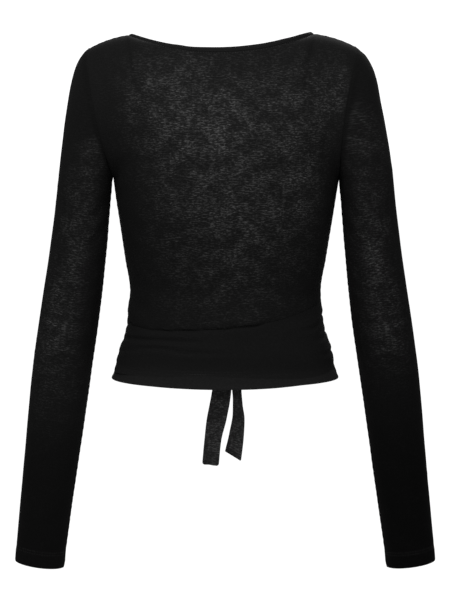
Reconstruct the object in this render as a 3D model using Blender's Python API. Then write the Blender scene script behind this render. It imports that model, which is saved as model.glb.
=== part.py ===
"""Cropped wrap top with long sleeves, of thin black knit, filled out as if worn, with no wearer in it.

Each cut piece is a wall of cloth of its own: the back, two wrap fronts that cross, two set-in sleeves,
the neck bands, the tie wound round the waist, its knot and its two hanging ends.

+X is the wearer's right, +Y the front and +Z up. The origin is midway between the shoulder seams.
Sizes are in millimetres and angles in degrees. Run it with blender --background --python part.py.
"""

import math

import bmesh
import bpy
from mathutils import Vector

MM = 0.001

# --- Cloth ---------------------------------------------------------------------------------------
WALL = 1.2  # body and sleeves
BAND_WALL = 2.0  # folded binding at the neck
SASH_WALL = 1.5  # tie cloth laid double
TAIL_WALL = 2.0
SEAM_GAP = 0.3  # between pieces that are sewn together

# --- Heights and shoulders -----------------------------------------------------------------------
HEM = -401.0
UNDERARM = -160.0
ARMHOLE_DEPTH = 58.0  # half the armhole's width, front to back
CURVE_OF_ARMHOLE = {"left": -3.0, "right": 6.0}  # how far the armhole seam bows in behind the arm
SHOULDER_POINT = {"left": (166.0, -9.5), "right": (157.5, -7.5)}  # out from the middle, height
NECK_TIP = {"left": (116.5, 8.0), "right": (105.0, 9.6)}  # where the shoulder seam meets the neck
SHOULDER_CROWN = 2.6  # rise of the shoulder seam over a straight line
BACK_NECK_LOW = (-9.0, -10.8)  # lowest point of the back neck edge: x, height
BACK_NECK_DEPTH = 58.0  # how far behind the shoulder seams that edge lies
FRONT_NECK_DEPTH = 46.0
NECK_FALL = 2.5  # power of the slope from the back up to the neck edge
NECK_ROUND = 0.62  # power of the neck edge's curve, seen from above
EVEN_TURN, EVEN_FROM = 0.6, 0.5  # how a panel's columns spread as they pass the armhole

# --- Torso: half-widths to each side, and depths behind and before the side seams -----------------
TORSO_COLUMNS = ("height", "left", "right", "back", "front")
TORSO_SECTIONS = (
    (-401.0, 134.8, 132.8, 85.0, 91.0),
    (-392.0, 131.6, 130.3, 84.5, 91.0),
    (-368.0, 125.6, 124.8, 83.0, 90.0),
    (-346.0, 118.7, 118.1, 80.0, 89.0),
    (-320.0, 115.0, 113.6, 78.0, 89.0),
    (-298.0, 113.9, 112.7, 78.0, 91.0),
    (-259.0, 119.7, 119.1, 85.0, 100.0),
    (-211.0, 126.7, 126.7, 94.0, 112.0),
    (-187.0, 130.5, 130.4, 96.0, 113.0),
    (-160.0, 134.0, 134.5, 96.0, 108.0),
)

# --- Sleeve: each section runs from its inner to its outer side, with its half-depth front to back ---
SLEEVE_COLUMNS = ("inner_x", "inner_z", "outer_x", "outer_z", "depth", "forward")
SLEEVE_SECTIONS = (
    (134.0, -160.0, 166.0, -9.5, 58.0, 0.0),
    (134.9, -162.5, 175.5, -24.0, 54.0, 0.0),
    (135.6, -166.5, 183.0, -45.5, 49.5, 0.0),
    (136.3, -174.0, 188.5, -75.0, 45.0, 0.0),
    (137.6, -187.0, 193.8, -112.0, 41.0, 0.0),
    (139.6, -209.0, 198.8, -150.0, 37.5, 0.5),
    (142.3, -238.0, 204.0, -196.0, 35.5, 1.0),
    (147.0, -279.0, 211.3, -251.0, 34.5, 1.5),
    (155.8, -347.0, 223.5, -332.0, 34.5, 2.5),
    (164.9, -412.0, 234.0, -402.5, 34.0, 4.0),
    (178.4, -501.0, 243.2, -491.5, 31.5, 6.0),
    (197.6, -633.0, 256.4, -624.5, 28.0, 9.0),
)
RIGHT_SHOULDER_IN = (8.5, 6.5, 4.6, 3.2, 1.4)  # the right shoulder is this much narrower, by section
RIGHT_TOP_UP, RIGHT_UNDERARM_OUT = 2.0, 0.5  # and its first section this much higher and wider
RIGHT_SLEEVE_IN = 1.8  # the right cuff hangs this much closer to the body
LEAN_FROM = 4.0  # the section where that lean starts
BOW_ENDS = 3.0  # the section where the bow of the armhole seam has faded out

# --- Fronts --------------------------------------------------------------------------------------
WRAP_CROSSING = -190.0  # where the two front edges cross, at the middle
WRAP_CURVE = 0.15  # how much those edges steepen on their way down
WRAP_LIFT = 3.0  # how far the over front stands off where the under front lies below it
WRAP_FULL, WRAP_NONE = 12.0, 24.0  # angles past the under front's edge where that lift starts to fade, ends
BAND_WIDTH = 6.0

# --- Tie round the waist: angle from the middle of the back, top and bottom edges, depth of folds --
SASH_COLUMNS = ("angle", "top", "bottom", "fold")
SASH_SECTIONS = (
    (-174.0, -339.0, -361.0, 2.6),
    (-150.0, -330.0, -374.0, 1.8),
    (-120.0, -318.0, -388.0, 1.2),
    (-95.0, -319.0, -394.0, 1.2),
    (-70.0, -334.0, -393.0, 0.7),
    (-45.0, -337.0, -393.0, 0.2),
    (-10.0, -334.3, -394.0, 0.0),
    (15.0, -329.5, -395.0, 0.0),
    (35.0, -323.5, -396.0, 0.3),
    (60.0, -314.0, -396.5, 0.8),
    (90.0, -306.0, -396.0, 1.2),
    (120.0, -312.0, -388.0, 1.2),
    (150.0, -328.0, -374.0, 1.8),
    (169.0, -339.0, -361.0, 2.6),
)
SASH_FOLDS = 4  # soft folds that run along it, across its width
SASH_CLEAR = 0.9  # off the back panel
SASH_FRONT_CLEAR = 4.2  # off the under front, because the over front lies between
SASH_TURN = (92.0, 112.0)  # angles between which the first becomes the second

# --- Knot and hanging ends -----------------------------------------------------------------------
KNOT_CENTRE = (5.0, 103.6, -350.0)
KNOT_HALF = (17.0, 9.0, 13.5)
KNOT_WRAP = (1.6, 0.42, 0.35)  # turn of cloth round the knot: height, half-width as a share, slant
TAIL_COLUMNS = ("height", "x", "y", "width", "turn", "skew")
TAILS = {
    "left": (
        (-366.5, 0.0, 97.6, 15.0, 0.0, 0.0),
        (-400.0, -2.0, 97.4, 20.0, 3.0, 0.0),
        (-434.0, -5.3, 98.0, 23.5, 8.0, 0.0),
        (-465.0, -11.0, 99.0, 23.5, 12.0, 0.0),
        (-495.0, -16.3, 99.5, 21.5, 10.0, 0.0),
        (-524.5, -19.1, 99.0, 20.5, 5.0, 1.0),
    ),
    "right": (
        (-366.5, 9.0, 104.0, 15.0, -8.0, 0.0),
        (-400.0, 12.5, 106.0, 19.0, -40.0, 0.0),
        (-434.0, 14.1, 106.0, 20.5, -59.0, 0.0),
        (-465.0, 15.3, 105.0, 20.5, -46.0, 0.0),
        (-490.0, 13.0, 103.5, 20.5, -30.0, -4.0),
        (-512.0, 9.0, 102.5, 20.5, -17.0, -14.0),
    ),
}

# --- How finely each piece is divided --------------------------------------------------------------
LOWER_ROWS, UPPER_ROWS = 9, 12
NECK_COLUMNS, SHOULDER_COLUMNS = 6, 5
FRONT_STEPS = 14
RINGS_PER_SECTION = 2
SASH_ROWS, SASH_STEPS = 16, 44
TAIL_ROWS, TAIL_STEPS = 10, 2
KNOT_RINGS, KNOT_SIDES = 9, 16
SHARP = 50.0  # edges that turn more than this stay crisp

SIDE = {"left": -1.0, "right": 1.0}
ALL_ROUND = (-999.0, 999.0)
CLOSE = 1e-3  # angles and levels nearer than this are one
ANGLE_STEP, LEVEL_STEP, HEIGHT_STEP = 0.5, 0.01, 0.5  # steps for reading a surface's slope
RUNS_ON = (0.1, 0.6)  # cosines between two walls at a seam: folded back below, one cloth above

BLACK_JERSEY = ((0.012, 0.012, 0.013, 1.0), 0.85)
BLACK_BINDING = ((0.016, 0.016, 0.017, 1.0), 0.80)
BLACK_TIE = ((0.014, 0.014, 0.015, 1.0), 0.85)


# --- Numbers -------------------------------------------------------------------------------------
def ease(value):
    """0 to 1, level at both ends."""
    t = min(max(value, 0.0), 1.0)
    return t * t * (3.0 - 2.0 * t)


def smooth_read(knots, values, at):
    """A smooth curve through values at rising knots, which never swings past its neighbours."""
    i = max(k for k in range(len(knots) - 1) if k == 0 or knots[k] <= at)
    steps = [knots[k + 1] - knots[k] for k in range(len(knots) - 1)]
    slopes = [(values[k + 1] - values[k]) / steps[k] for k in range(len(steps))]

    def slope_at(k):
        if k == 0 or k == len(slopes):
            return slopes[min(k, len(slopes) - 1)]
        before, after = slopes[k - 1], slopes[k]
        return 0.0 if before * after <= 0 else 2.0 * before * after / (before + after)

    t = min(max((at - knots[i]) / steps[i], 0.0), 1.0)
    start, end = slope_at(i) * steps[i], slope_at(i + 1) * steps[i]
    rise = values[i + 1] - values[i]
    return values[i] + t * (start + t * ((3.0 * rise - 2.0 * start - end) + t * (start + end - 2.0 * rise)))


def read_table(table, columns, name, by, at):
    """One column of a table, read smoothly at a value of its first column, or at a row number."""
    rows = sorted(table, key=lambda row: row[columns.index(by)]) if by else table
    knots = [row[columns.index(by)] for row in rows] if by else list(range(len(rows)))
    return smooth_read(knots, [row[columns.index(name)] for row in rows], at)


# --- The filled-out torso that the panels lie on ----------------------------------------------------
def torso(name, height):
    return read_table(TORSO_SECTIONS, TORSO_COLUMNS, name, "height", height)


def side_of(angle):
    return "left" if angle < 0 else "right"


def ring_point(angle, height):
    """A point of the torso below the arms. The angle runs from the middle of the back, 0, to the front."""
    across, behind = math.sin(math.radians(angle)), math.cos(math.radians(angle))
    depth = torso("back" if behind > 0 else "front", height)
    return Vector((torso(side_of(angle), height) * across, -depth * behind, height))


def shoulder_height(side, x):
    """Height of the shoulder seam at a distance from the middle."""
    (tip_x, tip_z), (point_x, point_z) = NECK_TIP[side], SHOULDER_POINT[side]
    t = min(max((x - tip_x) / (point_x - tip_x), 0.0), 1.0)
    return tip_z + (point_z - tip_z) * t + 4.0 * SHOULDER_CROWN * t * (1.0 - t)


def top_height(side, x, front):
    """Height of the top edge: the shoulder seam, and between the neck tips the neck edge."""
    tip_x, tip_z = NECK_TIP[side]
    if x >= tip_x:
        return shoulder_height(side, x)
    if front:
        return tip_z
    low_x, low_z = BACK_NECK_LOW
    past_low = SIDE[side] * x - low_x
    towards = "right" if past_low > 0 else "left"
    end_x, end_z = NECK_TIP[towards]
    return low_z + (end_z - low_z) * (past_low / (SIDE[towards] * end_x - low_x)) ** 2


def armhole_x(side, climb):
    """Distance of the armhole seam from the middle, as its angle round the arm climbs from 0 to 1."""
    low, high = torso(side, UNDERARM), SHOULDER_POINT[side][0]
    bow = CURVE_OF_ARMHOLE[side] * math.sin(math.pi * climb) ** 2
    return low + (high - low) * math.sin(math.pi * climb / 2.0) ** 2 - bow


def share_across(angle, climb):
    """Share of a panel's half-width at an angle: round below the arms, and more even above them."""
    round_share = math.sin(math.radians(angle))
    even_share = math.sin(math.radians(angle * EVEN_TURN)) / math.sin(math.radians(90.0 * EVEN_TURN))
    return round_share + (even_share - round_share) * ease(climb / EVEN_FROM)


def angle_across(share, climb):
    """The angle at which a panel reaches a share of its half-width."""
    low, high = -90.0, 90.0
    for _ in range(40):
        middle = (low + high) / 2.0
        if share_across(middle, climb) < share:
            low = middle
        else:
            high = middle
    return (low + high) / 2.0


def upper_point(angle, climb, front):
    """A point of the torso above the underarm. The angle is from the middle, and climb goes from 0 to 1."""
    side = side_of(angle)
    across = abs(share_across(angle, climb))
    lift = math.sin(math.pi * climb / 2.0)
    x = across * armhole_x(side, climb)
    top_x = across * SHOULDER_POINT[side][0]
    top = top_height(side, top_x, front)
    z = UNDERARM + (top - UNDERARM) * lift ** (1.0 + across**6)
    tip_share = min(top_x / NECK_TIP[side][0], 1.0)
    neck_depth = (FRONT_NECK_DEPTH if front else BACK_NECK_DEPTH) * (1.0 - tip_share**2) ** NECK_ROUND
    chest = torso("front" if front else "back", UNDERARM)
    edge = 2.0 * ARMHOLE_DEPTH * lift
    depth = math.sqrt(edge**2 + (chest**2 - edge**2) * (1.0 - across**2))
    round_over = math.sqrt(max(1.0 - lift**2, 0.0))
    slope_over = 1.0 - lift**NECK_FALL
    to_shoulder = ease(2.0 * tip_share - 1.0)
    keep = slope_over + (round_over - slope_over) * to_shoulder
    y = neck_depth + (depth - neck_depth) * keep
    return Vector((SIDE[side] * x, y if front else -y, z))


def panel_point(angle, level, front):
    """A point of the back or front surface. Level is 0 at the hem, 1 at the underarm and 2 at the top."""
    if level <= 1.0:
        height = HEM + (UNDERARM - HEM) * level
        ring = angle if not front else math.copysign(180.0, angle) - angle
        return ring_point(ring, height)
    return upper_point(angle, level - 1.0, front)


def slope_normal(surface, angle, other, angles, others, step):
    """Unit normal of a surface over an angle and another measure, from its slopes inside their ranges."""
    a0, a1 = max(angle - ANGLE_STEP, angles[0]), min(angle + ANGLE_STEP, angles[1])
    b0, b1 = max(other - step, others[0]), min(other + step, others[1])
    along_angle = surface(a1, other) - surface(a0, other)
    return along_angle.cross(surface(angle, b1) - surface(angle, b0)).normalized()


def panel_normal(angle, level, front):
    """Outward normal of a panel, which has no part along Y where the panel meets its other half."""
    levels = (0.0, 1.0) if level <= 1.0 else (1.0, 2.0)

    def surface(a, b):
        return panel_point(a, b, front)

    normal = slope_normal(surface, angle, level, (-90.0, 90.0), levels, LEVEL_STEP)
    normal = -normal if front else normal
    on_side_seam = abs(abs(angle) - 90.0) < CLOSE and level <= 1.0
    on_shoulder = level >= 2.0 - CLOSE and abs(angle) >= neck_angle(side_of(angle)) - CLOSE
    if on_side_seam or on_shoulder:
        normal.y = 0.0
    return normal.normalized()


def neck_angle(side):
    """Angle of the neck tip on the top edge."""
    return angle_across(NECK_TIP[side][0] / SHOULDER_POINT[side][0], 1.0)


# --- Sleeves -----------------------------------------------------------------------------------------
def sleeve(name, section):
    return read_table(SLEEVE_SECTIONS, SLEEVE_COLUMNS, name, None, section)


def sleeve_point(side, turn, section):
    """A point of a sleeve. Turn is 0 under the arm, 90 behind it, 180 outside it and 270 before it."""
    last = len(SLEEVE_SECTIONS) - 1
    inner = Vector((sleeve("inner_x", section), 0.0, sleeve("inner_z", section)))
    outer = Vector((sleeve("outer_x", section), 0.0, sleeve("outer_z", section)))
    if side == "right":
        knots = list(range(len(RIGHT_SHOULDER_IN) + 1))
        outer.x -= smooth_read(knots, RIGHT_SHOULDER_IN + (0.0,), min(section, knots[-1]))
        outer.z += RIGHT_TOP_UP * max(1.0 - section, 0.0)
        inner.x += RIGHT_UNDERARM_OUT * max(1.0 - section, 0.0)
        lean = RIGHT_SLEEVE_IN * max(section - LEAN_FROM, 0.0) / (last - LEAN_FROM)
        inner.x -= lean
        outer.x -= lean
    angle = math.radians(turn)
    point = inner + (outer - inner) * (1.0 - math.cos(angle)) / 2.0
    bow = CURVE_OF_ARMHOLE[side] * max(1.0 - section / BOW_ENDS, 0.0)
    point.x -= bow * math.sin(angle) ** 2
    point.y = sleeve("forward", section) - sleeve("depth", section) * math.sin(angle)
    point.x *= SIDE[side]
    return point


def sleeve_normal(side, turn, section):
    last = len(SLEEVE_SECTIONS) - 1

    def surface(a, b):
        return sleeve_point(side, a, b)

    normal = slope_normal(surface, turn, section, ALL_ROUND, (0.0, last), LEVEL_STEP)
    return -normal if side == "right" else normal


def armhole_frame(side, turn):
    """At the armhole seam: the way along the sleeve, and the normals of the panel and of the sleeve.

    The two normals are one where the cloth runs on over the seam, so that neither wall meets the other.
    Under the arm, where the cloth folds back on itself, each keeps its own.
    """
    along = sleeve_point(side, turn + ANGLE_STEP, 0.0) - sleeve_point(side, turn - ANGLE_STEP, 0.0)
    along.normalize()
    out = (sleeve_point(side, 180.0, 0.0) - sleeve_point(side, 0.0, 0.0)).normalized()
    way = Vector((out.z, 0.0, -out.x)) * (1.0 if side == "right" else -1.0)
    way = (way - along * way.dot(along)).normalized()
    of_panel = panel_normal(SIDE[side] * 90.0, 1.0 + abs(turn) / 180.0, turn < 0.0)
    of_sleeve = sleeve_normal(side, turn, 0.0)
    share = ease((of_panel.dot(of_sleeve) - RUNS_ON[0]) / (RUNS_ON[1] - RUNS_ON[0]))
    both = (of_panel + of_sleeve).normalized() if share > 0 else of_panel
    return way, of_panel.lerp(both, share).normalized(), of_sleeve.lerp(both, share).normalized()


# --- Walls ---------------------------------------------------------------------------------------------
def new_object(name, mesh_builder, material):
    """An object from a function that fills a bmesh in millimetres."""
    bm = bmesh.new()
    mesh_builder(bm)
    bmesh.ops.recalc_face_normals(bm, faces=bm.faces)
    bmesh.ops.scale(bm, vec=(MM, MM, MM), verts=bm.verts)
    mesh = bpy.data.meshes.new(name)
    bm.to_mesh(mesh)
    bm.free()
    mesh.shade_smooth()
    mesh.set_sharp_from_angle(angle=math.radians(SHARP))
    mesh.materials.append(material)
    thing = bpy.data.objects.new(name, mesh)
    bpy.context.scene.collection.objects.link(thing)
    return thing


def fill_wall(bm, outer, inner, closed):
    """A wall between two grids of points, rows of columns. Closed rows make a tube, open at both ends."""
    faces_of = []
    for grid in (outer, inner):
        faces_of.append([[bm.verts.new(point) for point in row] for row in grid])
    rows, columns = len(outer), len(outer[0])
    spans = [(c, (c + 1) % columns) for c in range(columns if closed else columns - 1)]
    for skin in faces_of:
        for r in range(rows - 1):
            for c, d in spans:
                bm.faces.new((skin[r][c], skin[r][d], skin[r + 1][d], skin[r + 1][c]))
    near, far = faces_of
    for r in (0, rows - 1):
        for c, d in spans:
            bm.faces.new((near[r][c], near[r][d], far[r][d], far[r][c]))
    if not closed:
        for c in (0, columns - 1):
            for r in range(rows - 1):
                bm.faces.new((near[r][c], near[r + 1][c], far[r + 1][c], far[r][c]))


def cloth_object(name, points, normals, wall, material, closed=False, proud=0.0):
    """A wall of cloth under a grid of outer points, moved out by proud."""
    outer = [[p + n * proud for p, n in zip(*rows)] for rows in zip(points, normals)]
    inner = [[p + n * (proud - wall) for p, n in zip(*rows)] for rows in zip(points, normals)]
    return new_object(name, lambda bm: fill_wall(bm, outer, inner, closed), material)


# --- Panels ----------------------------------------------------------------------------------------------
def panel_levels():
    lower = [i / LOWER_ROWS for i in range(LOWER_ROWS)]
    upper = [1.0 + i / UPPER_ROWS for i in range(UPPER_ROWS + 1)]
    return lower + upper


def armhole_turn(level, front):
    turn = 180.0 * (level - 1.0)
    return -turn if front else turn


def panel_grid(rows_of_angles, front, lift=None):
    """Outer points and normals of a panel, its seam edges drawn back by half the gap to their neighbours."""
    half_gap = SEAM_GAP / 2.0
    inward = Vector((0.0, half_gap if front else -half_gap, 0.0))
    points, normals = [], []
    for level, angles in zip(panel_levels(), rows_of_angles):
        row, row_normals = [], []
        for angle in angles:
            point = panel_point(angle, level, front)
            normal = panel_normal(angle, level, front)
            at_side = abs(abs(angle) - 90.0) < CLOSE
            if at_side and level > 1.0:
                way, normal, _ = armhole_frame(side_of(angle), armhole_turn(level, front))
                point -= way * half_gap
            if (at_side and level <= 1.0) or level == 2.0:
                point += inward
            if lift:
                point += normal * lift(angle, level)
            row.append(point)
            row_normals.append(normal)
        points.append(row)
        normals.append(row_normals)
    return points, normals


def back_angles():
    """Angles of the back panel's columns, with one at each neck tip."""
    left, right = neck_angle("left"), neck_angle("right")
    columns = [-90.0 + (90.0 - left) * i / SHOULDER_COLUMNS for i in range(SHOULDER_COLUMNS)]
    columns += [-left + left * i / NECK_COLUMNS for i in range(NECK_COLUMNS)]
    columns += [right * i / NECK_COLUMNS for i in range(NECK_COLUMNS)]
    columns += [right + (90.0 - right) * i / SHOULDER_COLUMNS for i in range(SHOULDER_COLUMNS + 1)]
    return columns


def wrap_edge(side, level):
    """Angle of a front's free edge: from its own neck tip, past the middle, to the other side."""
    tip_x, tip_z = NECK_TIP[side]
    climb = max(level - 1.0, 0.0)
    height = HEM + (UNDERARM - HEM) * level
    if climb > 0.0:
        height = UNDERARM + (tip_z - UNDERARM) * math.sin(math.pi * climb / 2.0)
    fall = (height - WRAP_CROSSING) / (tip_z - WRAP_CROSSING)
    x = tip_x * (fall + WRAP_CURVE * fall**2) / (1.0 + WRAP_CURVE)
    other = "left" if side == "right" else "right"
    towards = side if x > 0 else other
    reach = armhole_x(towards, climb) if climb > 0.0 else torso(towards, height)
    return SIDE[side] * angle_across(x / reach, climb)


def front_angles(side):
    outer = SIDE[side] * 90.0
    rows = []
    for level in panel_levels():
        edge = wrap_edge(side, level)
        rows.append([outer + (edge - outer) * i / FRONT_STEPS for i in range(FRONT_STEPS + 1)])
    return rows


def over_lift(angle, level):
    """How far the over front stands off: fully over the under front and just past its edge."""
    past = angle - wrap_edge("left", level)
    return WRAP_LIFT * (1.0 - ease((past - WRAP_FULL) / (WRAP_NONE - WRAP_FULL)))


def make_back(material):
    columns = back_angles()
    points, normals = panel_grid([columns] * len(panel_levels()), False)
    cloth_object("back", points, normals, WALL, material)
    first, last = SHOULDER_COLUMNS, SHOULDER_COLUMNS + 2 * NECK_COLUMNS
    return points[-1][first : last + 1], normals[-1][first : last + 1]


def make_front(side, material):
    lift = over_lift if side == "right" else None
    points, normals = panel_grid(front_angles(side), True, lift)
    cloth_object("front_" + side, points, normals, WALL, material)
    return [row[-1] for row in points], [row[-1] for row in normals]


def make_band(name, edge, normals, beyond, material):
    """A flat band sewn to a free edge, on the side that beyond points to."""
    ways = []
    for i, (point, normal) in enumerate(zip(edge, normals)):
        along = edge[min(i + 1, len(edge) - 1)] - edge[max(i - 1, 0)]
        way = along.cross(normal)
        if abs(point.y) < SEAM_GAP:
            way.y = 0.0
        ways.append(way.normalized())
    turn = 1.0 if ways[len(ways) // 2].dot(beyond) > 0 else -1.0
    rows = []
    for reach in (SEAM_GAP, SEAM_GAP + BAND_WIDTH / 2.0, SEAM_GAP + BAND_WIDTH):
        rows.append([p + way * turn * reach for p, way in zip(edge, ways)])
    proud = (BAND_WALL - WALL) / 2.0
    cloth_object(name, rows, [normals] * len(rows), BAND_WALL, material, proud=proud)


# --- Sleeves, tie and knot ---------------------------------------------------------------------------------
def make_sleeve(side, material):
    turns = [180.0 * i / UPPER_ROWS for i in range(2 * UPPER_ROWS)]
    steps = RINGS_PER_SECTION * (len(SLEEVE_SECTIONS) - 1)
    points, normals = [], []
    for ring in range(steps + 1):
        section = ring / RINGS_PER_SECTION
        row = [sleeve_point(side, turn, section) for turn in turns]
        row_normals = [sleeve_normal(side, turn, section) for turn in turns]
        if ring == 0:
            for i, turn in enumerate(turns):
                signed = turn if turn <= 180.0 else turn - 360.0
                way, _, row_normals[i] = armhole_frame(side, signed)
                row[i] = row[i] + way * SEAM_GAP / 2.0
        points.append(row)
        normals.append(row_normals)
    cloth_object("sleeve_" + side, points, normals, WALL, material, closed=True)


def sash_clearance(angle):
    share = ease((abs(angle) - SASH_TURN[0]) / (SASH_TURN[1] - SASH_TURN[0]))
    return SASH_CLEAR + (SASH_FRONT_CLEAR - SASH_CLEAR) * share


def make_sash(material):
    first, last = SASH_SECTIONS[0][0], SASH_SECTIONS[-1][0]
    points, normals = [], []
    for r in range(SASH_ROWS + 1):
        share = r / SASH_ROWS
        row, row_normals = [], []
        for c in range(SASH_STEPS + 1):
            angle = first + (last - first) * c / SASH_STEPS
            top, bottom, fold = (
                read_table(SASH_SECTIONS, SASH_COLUMNS, name, "angle", angle) for name in SASH_COLUMNS[1:]
            )
            height = bottom + (top - bottom) * share
            normal = slope_normal(ring_point, angle, height, ALL_ROUND, (HEM, UNDERARM), HEIGHT_STEP)
            wave = fold * (1.0 - math.cos(2.0 * math.pi * SASH_FOLDS * share)) / 2.0
            point = ring_point(angle, height) + normal * (sash_clearance(angle) + SASH_WALL + wave)
            row.append(point)
            row_normals.append(normal)
        points.append(row)
        normals.append(row_normals)
    cloth_object("waist_sash", points, normals, SASH_WALL, material)


def knot_point(ring, side):
    """A point of the knot: a flattened ball with one turn of cloth round it."""
    lean, spin = math.pi * ring / KNOT_RINGS, 2.0 * math.pi * side / KNOT_SIDES
    ball = Vector((math.sin(lean) * math.cos(spin), math.sin(lean) * math.sin(spin), math.cos(lean)))
    height, half_width, slant = KNOT_WRAP
    across = (ball.x + slant * ball.z) / half_width
    swell = 1.0 + height / KNOT_HALF[1] * math.exp(-across * across)
    return Vector(KNOT_CENTRE) + Vector([b * h for b, h in zip(ball, KNOT_HALF)]) * swell


def fill_knot(bm):
    top = bm.verts.new(knot_point(0, 0))
    bottom = bm.verts.new(knot_point(KNOT_RINGS, 0))
    rings = [
        [bm.verts.new(knot_point(ring, side)) for side in range(KNOT_SIDES)] for ring in range(1, KNOT_RINGS)
    ]
    for side in range(KNOT_SIDES):
        after = (side + 1) % KNOT_SIDES
        bm.faces.new((top, rings[0][side], rings[0][after]))
        bm.faces.new((bottom, rings[-1][after], rings[-1][side]))
        for upper, lower in zip(rings, rings[1:]):
            bm.faces.new((upper[side], lower[side], lower[after], upper[after]))


def make_tail(side, material):
    table = TAILS[side]
    top, end = table[0][0], table[-1][0]
    points, normals = [], []
    for r in range(TAIL_ROWS + 1):
        height = top + (end - top) * r / TAIL_ROWS
        x, y, width, turn, skew = (
            read_table(table, TAIL_COLUMNS, name, "height", height) for name in TAIL_COLUMNS[1:]
        )
        angle = math.radians(turn)
        across = Vector((math.cos(angle), math.sin(angle), 0.0))
        row = []
        for c in range(TAIL_STEPS + 1):
            share = c / TAIL_STEPS - 0.5
            row.append(Vector((x, y, height + skew * share)) + across * width * share)
        points.append(row)
        normals.append([Vector((-math.sin(angle), math.cos(angle), 0.0))] * len(row))
    cloth_object("tie_tail_" + side, points, normals, TAIL_WALL, material, proud=TAIL_WALL / 2.0)


def new_material(name, look):
    colour, roughness = look
    material = bpy.data.materials.new(name)
    material.use_nodes = True
    shader = material.node_tree.nodes["Principled BSDF"]
    shader.inputs["Base Color"].default_value = colour
    shader.inputs["Roughness"].default_value = roughness
    shader.inputs["Metallic"].default_value = 0.0
    return material


def build():
    for thing in list(bpy.data.objects):
        bpy.data.objects.remove(thing, do_unlink=True)
    jersey = new_material("black_jersey", BLACK_JERSEY)
    binding = new_material("black_binding", BLACK_BINDING)
    tie = new_material("black_tie", BLACK_TIE)

    neck_edge, neck_normals = make_back(jersey)
    make_band("neck_band_back", neck_edge, neck_normals, Vector((0.0, 1.0, 1.0)), binding)
    for side in ("left", "right"):
        edge, edge_normals = make_front(side, jersey)
        beyond = Vector((-SIDE[side], 0.0, 1.0))
        make_band("neck_band_" + side, edge, edge_normals, beyond, binding)
        make_sleeve(side, jersey)
    make_sash(tie)
    new_object("tie_knot", fill_knot, tie)
    for side in ("left", "right"):
        make_tail(side, tie)


build()
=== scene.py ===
"""The looks of a cropped black wrap top with long sleeves, filled out as if worn, with no wearer in it.

Every cut piece is a thin shell of jersey on its solid's own form, with its creases, seams and hems.
+X is the wearer's right, +Y the front and +Z up. Shapes are in millimetres and angles in degrees;
materials, lights and the camera are in metres.
"""

import math

import bpy
import numpy as np
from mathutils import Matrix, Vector


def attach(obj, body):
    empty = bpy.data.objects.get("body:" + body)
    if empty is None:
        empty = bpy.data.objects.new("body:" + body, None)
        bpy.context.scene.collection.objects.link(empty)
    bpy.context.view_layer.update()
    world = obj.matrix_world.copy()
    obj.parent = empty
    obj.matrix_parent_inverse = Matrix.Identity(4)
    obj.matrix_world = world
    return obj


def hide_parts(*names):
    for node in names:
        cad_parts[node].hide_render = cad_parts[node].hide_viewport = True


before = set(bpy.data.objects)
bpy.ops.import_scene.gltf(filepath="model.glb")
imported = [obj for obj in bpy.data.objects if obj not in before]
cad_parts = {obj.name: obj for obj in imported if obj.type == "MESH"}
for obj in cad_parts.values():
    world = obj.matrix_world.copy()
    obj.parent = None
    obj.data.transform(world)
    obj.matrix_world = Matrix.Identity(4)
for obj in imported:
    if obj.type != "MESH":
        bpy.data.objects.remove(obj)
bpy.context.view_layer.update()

MM = 0.001

# --- Cloth ---
JERSEY = 0.9  # thickness of one layer, with its nap
BAND = 1.6
SASH = 1.1
TAIL = 1.2
SEAM_GAP = 0.3

# --- The form, as in the solids ---
HEM, UNDERARM = -401, -160
ARMHOLE_DEPTH = 58
CURVE_OF_ARMHOLE = {"left": -3, "right": 6}
SHOULDER_POINT = {"left": (166, -9.5), "right": (157.5, -7.5)}
NECK_TIP = {"left": (116.5, 8), "right": (105, 9.6)}
SHOULDER_CROWN = 2.6
BACK_NECK_LOW = (-9, -10.8)
BACK_NECK_DEPTH, FRONT_NECK_DEPTH = 58, 46
NECK_FALL, NECK_ROUND = 2.5, 0.62
EVEN_TURN, EVEN_FROM = 0.6, 0.5

TORSO_COLUMNS = ("height", "left", "right", "back", "front")
TORSO_SECTIONS = (
    (-401, 134.8, 132.8, 85, 91),
    (-392, 131.6, 130.3, 84.5, 91),
    (-368, 125.6, 124.8, 83, 90),
    (-346, 118.7, 118.1, 80, 89),
    (-320, 115, 113.6, 78, 89),
    (-298, 113.9, 112.7, 78, 91),
    (-259, 119.7, 119.1, 85, 100),
    (-211, 126.7, 126.7, 94, 112),
    (-187, 130.5, 130.4, 96, 113),
    (-160, 134, 134.5, 96, 108),
)
SLEEVE_COLUMNS = ("inner_x", "inner_z", "outer_x", "outer_z", "depth", "forward")
SLEEVE_SECTIONS = (
    (134, -160, 166, -9.5, 58, 0),
    (134.9, -162.5, 175.5, -24, 54, 0),
    (135.6, -166.5, 183, -45.5, 49.5, 0),
    (136.3, -174, 188.5, -75, 45, 0),
    (137.6, -187, 193.8, -112, 41, 0),
    (139.6, -209, 198.8, -150, 37.5, 0.5),
    (142.3, -238, 204, -196, 35.5, 1),
    (147, -279, 211.3, -251, 34.5, 1.5),
    (155.8, -347, 223.5, -332, 34.5, 2.5),
    (164.9, -412, 234, -402.5, 34, 4),
    (178.4, -501, 243.2, -491.5, 31.5, 6),
    (197.6, -633, 256.4, -624.5, 28, 9),
)
LAST_SECTION = len(SLEEVE_SECTIONS) - 1
RIGHT_SHOULDER_IN = (8.5, 6.5, 4.6, 3.2, 1.4)
RIGHT_TOP_UP, RIGHT_UNDERARM_OUT = 2, 0.5
RIGHT_SLEEVE_IN, LEAN_FROM, BOW_ENDS = 1.8, 4, 3

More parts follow.
